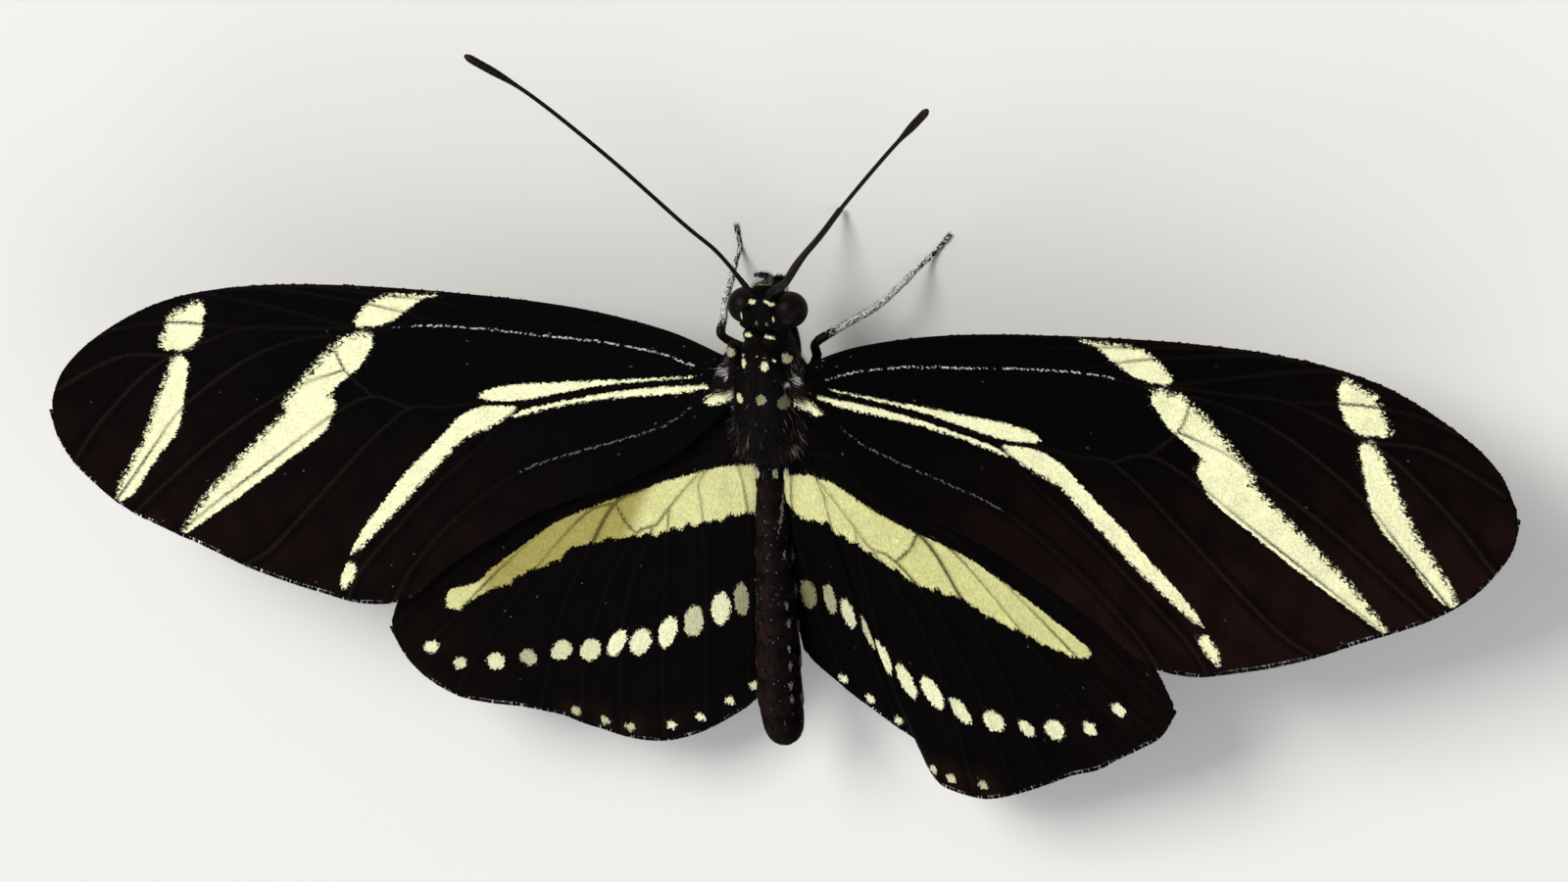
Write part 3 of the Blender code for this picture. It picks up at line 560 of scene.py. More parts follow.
def membrane_lift(kind, u, v, upper):
    """Height of the membrane's upper or under side over the template, and the gap to a vein."""
    ridge, nearest = vein_gaps(kind, u, v)
    outward = ease(3.0, 16.0, u) if kind == "fore" else ease(2.0, 12.0, -v)
    pleat = -PLEAT_DEPTH * outward * (1.0 - np.exp(-(nearest / 0.9) ** 2))
    pleat = pleat + 0.02 * drift(u, v, 6.0, 11)
    side = 1.0 if upper else -1.0
    return pleat + side * (MEMBRANE_HALF + ridge), nearest


def turn_matrix(degrees, axis):
    """A turn about an axis as an array."""
    return np.array(Matrix.Rotation(math.radians(degrees), 3, axis))


def pleat_slope(pleat, t):
    """Slope of the wing in radians at t pleat widths inward of the crease."""
    past = ease(*PLEAT_FOOT, t)
    steep = pleat["steep"] * ease(0.0, PLEAT_ONSET, t)
    return np.radians(steep * (1.0 - past) + pleat["level"] * past)


def pleated(flat, pleat):
    """Turn the part of a hindwing inward of its crease down, level past the pleat, and say which
    way the surface faces."""
    up = np.array((0.0, 0.0, 1.0))
    along = np.array((*pleat["end"], 0.0))
    along = along / np.linalg.norm(along)
    outward = np.array((-along[1], along[0], 0.0))
    inner = np.maximum(0.0, -(flat @ outward))
    width = pleat["widening"] * np.maximum(PLEAT_NEAREST, flat @ along)
    t = inner / width
    stops = np.linspace(0.0, PLEAT_FOOT[1], 61)
    slope = pleat_slope(pleat, 0.5 * (stops[1:] + stops[:-1]))
    near = np.minimum(t, PLEAT_FOOT[1])
    sums = []
    for part in (np.cos, np.sin):
        run = np.concatenate(((0.0,), np.cumsum(part(slope)) * stops[1]))
        level = part(math.radians(pleat["level"]))
        sums.append(np.interp(near, stops, run) + (t - near) * level)
    shrink, drop = sums
    point = flat + outward * (inner - width * shrink)[:, None] - up * (width * drop)[:, None]
    slope = pleat_slope(pleat, t)[:, None]
    return point, up * np.cos(slope) - outward * np.sin(slope)


def place_on_wing(name, u, v, lift):
    """Places on the flat template, with their height over it, as points in metres."""
    posture = POSTURES[name]
    point = np.stack((u, v, np.zeros_like(u)), axis=1)
    facing = np.array((0.0, 0.0, 1.0))
    if name in PLEATS:
        point, facing = pleated(point, PLEATS[name])
    point[:, 2] -= CAMBER * (v - CAMBER_LINE) ** 2 + posture["droop"] * u * u
    point = point + lift[:, None] * facing
    turn = turn_matrix(posture["twist"], "X")
    turn = turn_matrix(-posture["dihedral"], "Y") @ turn
    turn = turn_matrix(-posture["sweep"], "Z") @ turn
    placed = point @ turn.T
    root_x, root_y, root_rise = posture["root"]
    row = np.stack((posture["side"] * (root_x + placed[:, 0]), root_y - placed[:, 1],
                    root_rise + placed[:, 2]), axis=1)
    return (THORAX + row) * MM


def mottled(cover, chance):
    """Break the soft edge of a mark up into scales that are more or less pale."""
    edge = np.minimum(cover, 1.0 - cover) * 2.0
    return ease(0.15, 0.85, cover + 1.5 * (chance - 0.5) * edge)


def wing_colour(name, u, v, nearest, settings, rng, upper):
    """Colour of the scales at each place. With a generator each scale has a colour of its own."""
    count = len(u)
    kind = wing_kind(name)
    fore = kind == "fore"
    chance = rng.random(count) if rng is not None else np.full(count, 0.5)
    pale = np.zeros(count)
    spots = np.zeros(count)
    spot_tone = np.ones(count)
    if fore:
        ragged = 0.3 * drift(u, v, 0.5, 5)
        mark_u = u + MARK_SLIP[name] * ease(18.0, 24.0, u)
        for stroke, left_soft, right_soft in FORE_MARKS.values():
            cover = stroke_cover(mark_u, v, stroke, left_soft, right_soft)
            edge = np.minimum(cover, 1.0 - cover) * 2.0
            pale = np.maximum(pale, np.clip(cover + ragged * edge, 0.0, 1.0))
        # The brown at the rear and tip of the forewing is partly painted light shining through the wing.
        inland = ease(1.0, 12.0, -v) * ease(3.0, 15.0, u)
        outer = ease(22.0, 38.0, u) * 0.35
        brown = np.clip((0.85 * inland + outer) * INLAND_BROWN_AND_BACKLIGHT[name], 0.0, 1.0)
    else:
        torn = 0.35 * drift(u, v, 0.28, 9)
        pale = band_cover(u, v, *HIND_BANDS[kind])
        for (spot_u, spot_v), (length, width, tone) in zip(SPOT_PLACES[kind], SPOT_SHAPES[kind]):
            here = oval_cover(u, v, ((spot_u, spot_v, length, width),), (0.0, -1.0), 0.22)
            spot_tone = np.where(here > 0.0, tone, spot_tone)
            spots = np.maximum(spots, here)
        size = MARGINAL_DOT_SIZE
        dots = [(spot_u, spot_v, size, size) for spot_u, spot_v in MARGINAL_DOTS[kind]]
        here = oval_cover(u, v, dots, (0.0, -1.0), 0.2)
        spot_tone = np.where(here > 0.0, 0.95 - 0.45 * ease(5.0, 9.0, u), spot_tone)
        spots = np.maximum(spots, here)
        rust = oval_cover(u, v, [(x, y, 1.9, 1.6) for x, y in MARGINAL_DOTS[kind]], (0.0, -1.0), 1.2)
        brown = 0.1 + 0.3 * ease(14.0, 20.0, u) + 0.8 * rust * ease(3.0, 7.0, u)
        spots = np.clip(spots + torn * 2.0 * np.minimum(spots, 1.0 - spots), 0.0, 1.0)
    brown = np.clip(brown * (1.0 + 0.45 * drift(u, v, 3.0, 21)), 0.0, 1.0)
    # Painted pleat light: the ground is less brown just beside the veins, so the middle of each cell looks lit like a
    # pleat catching light.
    painted_pleat_shade = np.exp(-((nearest - 0.3) / 0.2) ** 2)
    ground = blend_colours(settings.black, settings.maroon, brown * (1.0 - 0.65 * painted_pleat_shade))
    on_vein = np.exp(-(nearest / 0.075) ** 2)
    vein_share = (0.1 + 0.55 * ease(12.0, 26.0, u)) * (1.0 - 0.6 * ease(-2.0, 0.5, v))
    ground = blend_colours(ground, settings.vein_brown, on_vein * vein_share if fore else 0.08 * on_vein)

    dust = np.full(count, 0.0004)
    bright = np.full(count, 0.12)
    if fore:
        radial = smooth_path(FORE_VEINS["radial"][0][1:8], 4)
        gap, along, _ = line_distance(u, v, radial)
        line = 0.9 * np.exp(-(gap / 0.036) ** 4) * (1.0 - ease(0.8, 1.0, along))
        bright = np.where(line > 0.05, 0.2 + 0.9 * (chance * 13.0 % 1.0), bright)
        dust = np.maximum(dust, line)
        anal = smooth_path(FORE_VEINS["anal"][0][1:7], 4)
        gap, along, _ = line_distance(u, v, anal)
        line = 0.9 * np.exp(-(gap / 0.034) ** 4) * ease(0.0, 0.1, along) * ease(1.0, 0.75, along)
        bright = np.where(line > 0.05, 0.05 + 0.2 * (chance * 13.0 % 1.0), bright)
        dust = np.maximum(dust, line)
        dust = np.maximum(dust, 0.02 * ease(4.5, 0.0, u) * ease(-3.5, 0.0, v))
    dust_and_glints = (chance * 7.0 % 1.0) < dust if rng is not None else dust > 0.9
    ground = blend_colours(ground, settings.silver, dust_and_glints * bright)

    cream = settings.cream if fore else settings.shaded_cream
    # Painted light: near the root each hindwing band is blended toward the full cream, where it faces the light.
    lit_near_root = np.zeros(count) if fore else 0.12 * ease(7.0, 3.0, u)
    cream = blend_colours(cream, settings.cream, lit_near_root)
    # Painted shadow: the forewing's shadow darkens the outer part of the left hindwing's band to olive.
    if kind == "hind_left":
        shaded = 0.95 * ease(5.6, 6.8, u + 0.5 * (v + 6.0)) * ease(16.2, 15.2, u)
        cream = blend_colours_by_row(cream, settings.forewing_shadow_cream, shaded)
    cream = cream * (1.0 + 0.05 * drift(u, v, 2.2, 17))[:, None]
    faint = 0.62 + 0.3 * drift(u, v, 6.0, 19)
    vein_in_band = np.exp(-(nearest / 0.075) ** 2) * np.clip(faint + 0.12, 0.2, 0.95)
    line_tone = settings.vein_brown if fore else settings.vein_olive
    if not fore:
        stem = smooth_path(HIND_VEINS["media_stem"][0][1:7], 6)
        gap, _, _ = line_distance(pattern_place(kind, u), v, stem)
        vein_in_band = np.maximum(vein_in_band, 0.98 * np.exp(-(gap / 0.12) ** 2))
    cream = blend_colours_by_row(cream, line_tone, vein_in_band)
    tan = blend_colours((0.1, 0.085, 0.03), settings.spot_cream, spot_tone)
    covered = ease(0.2, 0.8, pale) if rng is None else mottled(pale, chance)
    spotted = ease(0.2, 0.8, spots) if rng is None else mottled(spots, chance)
    colour = blend_colours_by_row(ground, cream, covered)
    colour = blend_colours_by_row(colour, tan, spotted)
    if not upper:
        colour = blend_colours_by_row(colour, (0.055, 0.036, 0.028), 0.16 * (1.0 - covered))
        colour = colour * (1.0 - 0.14 * covered)[:, None]
        red = oval_cover(u, v, CRIMSON_SPOTS[kind[:4]], (-1.0, 0.0), 0.15)
        red = ease(0.2, 0.8, red) if rng is None else (red > chance).astype(float)
        colour = blend_colours_by_row(colour, settings.crimson, red)
    if rng is not None:
        colour = colour * (1.0 + 0.08 * rng.standard_normal(count))[:, None]
    return np.clip(colour, 0.0004, 1.0)


def mesh_piece(name, points, faces, colours, material, tuft_map=None, smooth=True):
    """Make an object from arrays: points in metres, faces of one size, a colour for each point."""
    faces = np.asarray(faces, dtype=np.int32)
    mesh = bpy.data.meshes.new(name)
    mesh.vertices.add(len(points))
    mesh.vertices.foreach_set("co", np.ascontiguousarray(points, dtype=np.float32).ravel())
    corners = faces.shape[1]
    mesh.loops.add(faces.size)
    mesh.loops.foreach_set("vertex_index", faces.ravel())
    mesh.polygons.add(len(faces))
    mesh.polygons.foreach_set("loop_start", np.arange(0, faces.size, corners, dtype=np.int32))
    mesh.polygons.foreach_set("use_smooth", np.full(len(faces), smooth, dtype=bool))
    mesh.update(calc_edges=True)
    paint(mesh, colours)
    if tuft_map is not None:
        layer = mesh.uv_layers.new(name="OFBake")
        layer.uv.foreach_set("vector", np.ascontiguousarray(tuft_map[faces.ravel()], np.float32).ravel())
    mesh.materials.append(material)
    piece = bpy.data.objects.new(name, mesh)
    bpy.context.scene.collection.objects.link(piece)
    return piece


def paint(mesh, colours):
    """Store a colour for each point of a mesh."""
    layer = mesh.color_attributes.new("tint", "FLOAT_COLOR", "POINT")
    full = np.ones((len(colours), 4), dtype=np.float32)
    full[:, :3] = colours
    layer.data.foreach_set("color", full.ravel())


def hand_over(piece, slot, *nodes):
    """Let a piece ride on the body, in place of these solids. The slot is not used."""
    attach(piece, "root")
    if nodes:
        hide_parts(*nodes)
    return piece


def tinted_material(name, roughness, specular, grain_size, grain, bump):
    """A finish that takes its colour from the mesh, with a fine grain in tone and gloss."""
    material = bpy.data.materials.new(name)
    material.use_nodes = True
    nodes = material.node_tree.nodes
    links = material.node_tree.links
    shader = nodes["Principled BSDF"]
    tint = nodes.new("ShaderNodeAttribute")
    tint.attribute_name = "tint"
    place = nodes.new("ShaderNodeTexCoord")
    noise = nodes.new("ShaderNodeTexNoise")
    noise.inputs["Scale"].default_value = 1.0 / grain_size
    noise.inputs["Detail"].default_value = 3.0
    tone = nodes.new("ShaderNodeMapRange")
    tone.inputs["To Min"].default_value = 1.0 - grain
    tone.inputs["To Max"].default_value = 1.0 + grain
    mixed = nodes.new("ShaderNodeMix")
    mixed.data_type = "RGBA"
    mixed.blend_type = "MULTIPLY"
    mixed.inputs["Factor"].default_value = 1.0
    gloss = nodes.new("ShaderNodeMapRange")
    gloss.inputs["To Min"].default_value = roughness - 0.1
    gloss.inputs["To Max"].default_value = roughness + 0.1
    relief = nodes.new("ShaderNodeBump")
    relief.inputs["Strength"].default_value = bump
    relief.inputs["Distance"].default_value = grain_size * 0.5
    links.new(place.outputs["Object"], noise.inputs["Vector"])
    links.new(noise.outputs["Fac"], tone.inputs["Value"])
    links.new(noise.outputs["Fac"], gloss.inputs["Value"])
    links.new(noise.outputs["Fac"], relief.inputs["Height"])
    links.new(tint.outputs["Color"], mixed.inputs["A"])
    links.new(tone.outputs["Result"], mixed.inputs["B"])
    links.new(mixed.outputs["Result"], shader.inputs["Base Color"])
    links.new(gloss.outputs["Result"], shader.inputs["Roughness"])
    links.new(relief.outputs["Normal"], shader.inputs["Normal"])
    shader.inputs["Specular IOR Level"].default_value = specular
    return material


def make_membrane(name, settings, material):
    """The thin wing between its scales: two skins over the veins, closed at the margin."""
    kind = wing_kind(name)
    columns, rows = (190, 76) if kind == "fore" else (120, 96)
    first, last = REACH[kind]
    step = np.sin(0.5 * math.pi * np.arange(columns + 1) / columns)
    u = first + (last - first) * step
    front, back = front_and_back(kind, u)
    share = np.linspace(0.0, 1.0, rows + 1)
    grid_u = np.repeat(u, rows + 1)
    grid_v = (back[:, None] + (front - back)[:, None] * share[None, :]).ravel()
    sides = []
    tints = []
    for upper in (True, False):
        lift, nearest = membrane_lift(kind, grid_u, grid_v, upper)
        sides.append(place_on_wing(name, grid_u, grid_v, lift))
        tints.append(wing_colour(name, grid_u, grid_v, nearest, settings, None, upper))
    count = len(grid_u)
    corner = (np.arange(columns)[:, None] * (rows + 1) + np.arange(rows)[None, :]).ravel()
    top = np.stack((corner, corner + rows + 1, corner + rows + 2, corner + 1), axis=1)
    rim = np.concatenate((np.arange(columns) * (rows + 1),
                          columns * (rows + 1) + np.arange(rows),
                          (np.arange(columns, 0, -1)) * (rows + 1) + rows,
                          np.arange(rows, 0, -1)))
    following = np.roll(rim, -1)
    wall = np.stack((rim, rim + count, following + count, following), axis=1)
    faces = np.concatenate((top, top[:, ::-1] + count, wall))
    if POSTURES[name]["side"] < 0:
        faces = faces[:, ::-1]
    points = np.concatenate(sides)
    piece = mesh_piece(name + "_membrane", points, faces, np.concatenate(tints), material)
    return hand_over(piece, "wing_scales", name)


# A scale and a hair: (along, across, height) of each corner, and how bright each is
SCALE_SHAPE = np.array(((0.0, 0.0, 0.0), (0.5, -0.5, 0.3), (0.5, 0.5, 0.3),
                        (1.0, -0.33, 1.0), (1.0, 0.33, 1.0)))
SCALE_SHADE = np.array((0.78, 0.97, 0.97, 1.05, 1.05))
HAIR_SHAPE = np.array(((0.0, -0.5, 0.0), (0.5, -0.4, 0.42), (0.5, 0.4, 0.42),
                       (1.0, -0.06, 1.0), (1.0, 0.06, 1.0)))
SCALE_FACES = np.array(((0, 1, 2), (1, 3, 4), (1, 4, 2)))


def tuft_patches(root, shape):
    """Map each scale or hair to a small patch at its root's place on the skin's unwrap."""
    spread = np.stack((shape[:, 0] - 0.5, shape[:, 1]), axis=1) * TUFT_PATCH
    return (root[:, None, :] + spread[None, :, :]).reshape(-1, 2)


def copies_of(faces, corners, count):
    """The faces of many copies of one small shape."""
    return (faces[None, :, :] + (np.arange(count) * corners)[:, None, None]).reshape(-1, 3)


def fan_places(kind, row_gap, side_gap, rng):
    """Roots of scales in rows that fan out from the wing's base, and the way each points."""
    fan = FANS[kind[:4]]
    low, high = fan["reach"]
    start, end = (math.radians(angle) for angle in fan["sweep"])
    centre_u, centre_v = fan["centre"]
    found = []
    for row, radius in enumerate(np.arange(low, high, row_gap)):
        count = int(abs(end - start) * radius / side_gap)
        angle = start + (end - start) * (np.arange(count) + 0.5 * (row % 2)) / count
        found.append(np.stack((np.full(count, radius), angle), axis=1))
    found = np.concatenate(found)
    radius = found[:, 0] + rng.uniform(-0.3, 0.3, len(found)) * row_gap
    angle = found[:, 1] + rng.uniform(-0.25, 0.25, len(found)) * side_gap / radius
    u = centre_u + radius * np.cos(angle)
    v = centre_v + radius * np.sin(angle)
    front, back = front_and_back(kind, u)
    first, last = REACH[kind]
    inside = (u > first + 0.05) & (u < last) & (v > back + 0.04) & (v < front - 0.05)
    heading = angle + rng.normal(0.0, 0.1, len(angle))
    return u[inside], v[inside], heading[inside]


def draw_back(kind, u, v, heading, length):
    """Slide scales that stick out past the margin back along their heading, and say which of them
    then lie inside it."""
    for turn in range(3):
        tip_u = u + length * np.cos(heading)
        tip_v = v + length * np.sin(heading)
        front, back = front_and_back(kind, tip_u)
        out = (tip_v > front) | (tip_v < back) | (tip_u > REACH[kind][1])
        if turn < 2:
            u = np.where(out, u - 0.5 * length * np.cos(heading), u)
            v = np.where(out, v - 0.5 * length * np.sin(heading), v)
    return u, v, ~out


def make_wing_scales(name, settings, material, upper, seed):
    """Overlapping scales on one side of a wing, each of one colour."""
    kind = wing_kind(name)
    rng = np.random.default_rng(seed)
    coarser = 1.0 if upper else 1.45
    row_gap = settings.row_gap / MM * coarser
    side_gap = settings.side_gap / MM * coarser
    u, v, heading = fan_places(kind, row_gap, side_gap, rng)
    length = settings.scale_length / MM * coarser * rng.uniform(0.85, 1.15, len(u))
    u, v, kept = draw_back(kind, u, v, heading, length)
    u, v, heading, length = u[kept], v[kept], heading[kept], length[kept]
    count = len(u)
    lift, nearest = membrane_lift(kind, u, v, upper)
    colours = wing_colour(name, u, v, nearest, settings, rng, upper)
    width = settings.scale_width / MM * coarser * rng.uniform(0.88, 1.12, count)
    tilt = rng.uniform(0.08, 0.16, count)
    roll = rng.normal(0.0, 0.1, count)
    rise = 1.0 if upper else -1.0
    points = []
    for along, across, height in SCALE_SHAPE:
        reach = along * length
        side = across * width
        spot_u = u + reach * np.cos(heading) - side * np.sin(heading)
        spot_v = v + reach * np.sin(heading) + side * np.cos(heading)
        spot_lift = lift + rise * (0.004 + height * tilt * length + 0.02 * along + roll * side)
        points.append((spot_u, spot_v, spot_lift))
    u_all = np.stack([p[0] for p in points], axis=1).ravel()
    v_all = np.stack([p[1] for p in points], axis=1).ravel()
    lift_all = np.stack([p[2] for p in points], axis=1).ravel()
    placed = place_on_wing(name, u_all, v_all, lift_all)
    faces = copies_of(SCALE_FACES, len(SCALE_SHAPE), count)
    if (POSTURES[name]["side"] > 0) != upper:
        faces = faces[:, ::-1]
    tints = np.clip(colours[:, None, :] * SCALE_SHADE[None, :, None], 0.0, 1.0).reshape(-1, 3)
    root = np.stack(((u + 2.0) / TEMPLATE_SPAN, (v - TEMPLATE_BACK) / TEMPLATE_SPAN), axis=1)
    patches = tuft_patches(root, SCALE_SHAPE)
    label = "_upper_scales" if upper else "_under_scales"
    piece = mesh_piece(name + label, placed, faces, tints, material, patches, smooth=False)
    return hand_over(piece, "wing_scales")


def make_fringe(name, settings, material, seed):
    """The fine fringe of hair scales along the outer margin, pale between the vein ends."""
    kind = wing_kind(name)
    rng = np.random.default_rng(seed)
    _, trail = wing_edges(kind)
    start = 18.0 if kind == "fore" else REACH[kind][0] + 0.4
    trail = trail[trail[:, 0] > start]
    steps = np.hypot(*np.diff(trail, axis=0).T)
    run = np.concatenate(((0.0,), np.cumsum(steps)))
    count = int(run[-1] / 0.02)
    at = np.sort(rng.uniform(0.0, run[-1], count))
    u = np.interp(at, run, trail[:, 0])
    v = np.interp(at, run, trail[:, 1])
    ahead = at + 0.1
    du = np.interp(ahead, run, trail[:, 0]) - np.interp(at - 0.1, run, trail[:, 0])
    dv = np.interp(ahead, run, trail[:, 1]) - np.interp(at - 0.1, run, trail[:, 1])
    heading = np.arctan2(-du, dv) + rng.normal(0.0, 0.12, count)
    length = rng.uniform(0.2, 0.3, count)
    reach = length + rng.uniform(-0.04, 0.0, count)
    u = u - reach * np.cos(heading)
    v = v - reach * np.sin(heading)
    lift, _ = membrane_lift(kind, u, v, True)
    ends = np.array(VEIN_ENDS[kind[:4]])
    between = ease(0.35, 0.9, np.abs(pattern_place(kind, u)[:, None] - ends).min(axis=1))
    pale = rng.random(count) < between * (0.12 if kind == "fore" else 0.05)
    shine = pale * rng.uniform(0.03, 0.16, count)
    colours = blend_colours(settings.black, np.array(settings.silver) * 0.8, shine)
    width = rng.uniform(0.05, 0.08, count)
    points = []
    for along, across, height in SCALE_SHAPE:
        side = across * width
        reach = along * length
        points.append((u + reach * np.cos(heading) - side * np.sin(heading),
                       v + reach * np.sin(heading) + side * np.cos(heading),
                       lift - 0.02 + 0.02 * height))
    stacked = [np.stack([p[k] for p in points], axis=1).ravel() for k in range(3)]
    placed = place_on_wing(name, *stacked)
    faces = copies_of(SCALE_FACES, len(SCALE_SHAPE), count)
    tints = np.repeat(colours, len(SCALE_SHAPE), axis=0)
    root = np.stack(((u + 2.0) / TEMPLATE_SPAN, (v - TEMPLATE_BACK) / TEMPLATE_SPAN), axis=1)
    piece = mesh_piece(name + "_fringe", placed, faces, tints, material, tuft_patches(root, SCALE_SHAPE),
                       smooth=False)
    return hand_over(piece, "wing_scales")


def swelling(t, first, last, power):
    """A rounded swelling from first to last that reaches 1 between them."""
    base = first + (last - first) * t
    hump = (1.0 - abs(2.0 * t - 1.0) ** power) ** (1.0 / power)
    return base + (1.0 - base) * hump


def add_loft(bm, rings):
    """Join rings of points into one closed body."""
    loops = [[bm.verts.new(point) for point in ring] for ring in rings]
    count = len(loops[0])
    for lower, upper in zip(loops, loops[1:]):
        for i in range(count):
            j = (i + 1) % count
            bm.faces.new((lower[i], lower[j], upper[j], upper[i]))
    bm.faces.new(loops[0][::-1])
    bm.faces.new(loops[-1])


def oval_ring(y, rise, half_width, half_height, count, x=0.0):
    """An oval section across the body, in millimetres from the thorax centre."""
    angles = 2.0 * math.pi * np.arange(count) / count
    return [(x + half_width * math.cos(a), y, rise + half_height * math.sin(a)) for a in angles]


def tube_rings(path, radii, sides):
    """Round sections along a path, square to it, without twist."""
    tangents = np.gradient(path, axis=0)
    tangents = tangents / np.linalg.norm(tangents, axis=1)[:, None]
    across = np.cross(tangents[0], (0.31, 0.17, 0.93))
    rings = []
    for place, tangent, radius in zip(path, tangents, radii):
        across = across - tangent * (across @ tangent)
        across = across / np.linalg.norm(across)
        over = np.cross(tangent, across)
        ring = []
        for i in range(sides):
            angle = 2.0 * math.pi * i / sides
            ring.append(place + radius * (across * math.cos(angle) + over * math.sin(angle)))
        rings.append(ring)
    return rings


def add_ball(bm, centre, radii, tilt=(0.0, 0.0, 0.0)):
    """A ball stretched along three axes."""
    place = Matrix.Translation(centre)
    for angle, axis in zip(tilt, "XYZ"):
        place = place @ Matrix.Rotation(math.radians(angle), 4, axis)
    place = place @ Matrix.Diagonal((*radii, 1.0))
    bmesh.ops.create_icosphere(bm, subdivisions=4, radius=1.0, matrix=place)


def abdomen_half(t):
    """Half width of the abdomen's skin, each ring lapping over the next."""
    profile = smooth_path(ABDOMEN_PROFILE, 8)
    half = float(np.interp(t, profile[:, 0], profile[:, 1]))
    ring = (ABDOMEN_RINGS * t) % 1.0
    lap = 0.06 * (ease(0.0, 0.8, ring) - ease(0.9, 1.0, ring)) if t < 0.9 else 0.0
    return half + float(lap)


def abdomen_slip(t):
    """How far the abdomen's middle line lies to the butterfly's left."""
    return ABDOMEN_SLIP - ABDOMEN_TIP_SLIP * ease(0.8, 1.0, t)


def abdomen_rise(t):
    """Height of the abdomen's middle line."""
    return ABDOMEN_RISE - ABDOMEN_DROP * np.sin(0.5 * math.pi * t)


def leg_profile(name, share):
    """Half thickness along a leg: hip, thigh, knee, shin, and the jointed foot."""
    knots = (0.0, 0.1, 0.2, 0.32, 0.36, 0.42, 0.62, 0.7, 0.72, 1.0)
    halves = (0.34, 0.32, 0.24, 0.22, 0.24, 0.19, 0.17, 0.175, 0.13, 0.115)
    half = np.interp(share, knots, halves)
    foot = share > 0.72
    joints = 0.018 * np.abs(np.sin((share - 0.72) / 0.28 * math.pi * 5.0))
    return np.where(foot, half - 0.02 + joints, half)


def leg_path(name):
    """The smooth line of a leg, foot last."""
    return smooth_path(LEG_ROUTES[name], 8)


def mirrored(points, side):
    """A route on the other side of the body."""
    return [(side * x, y, z) for x, y, z in points]


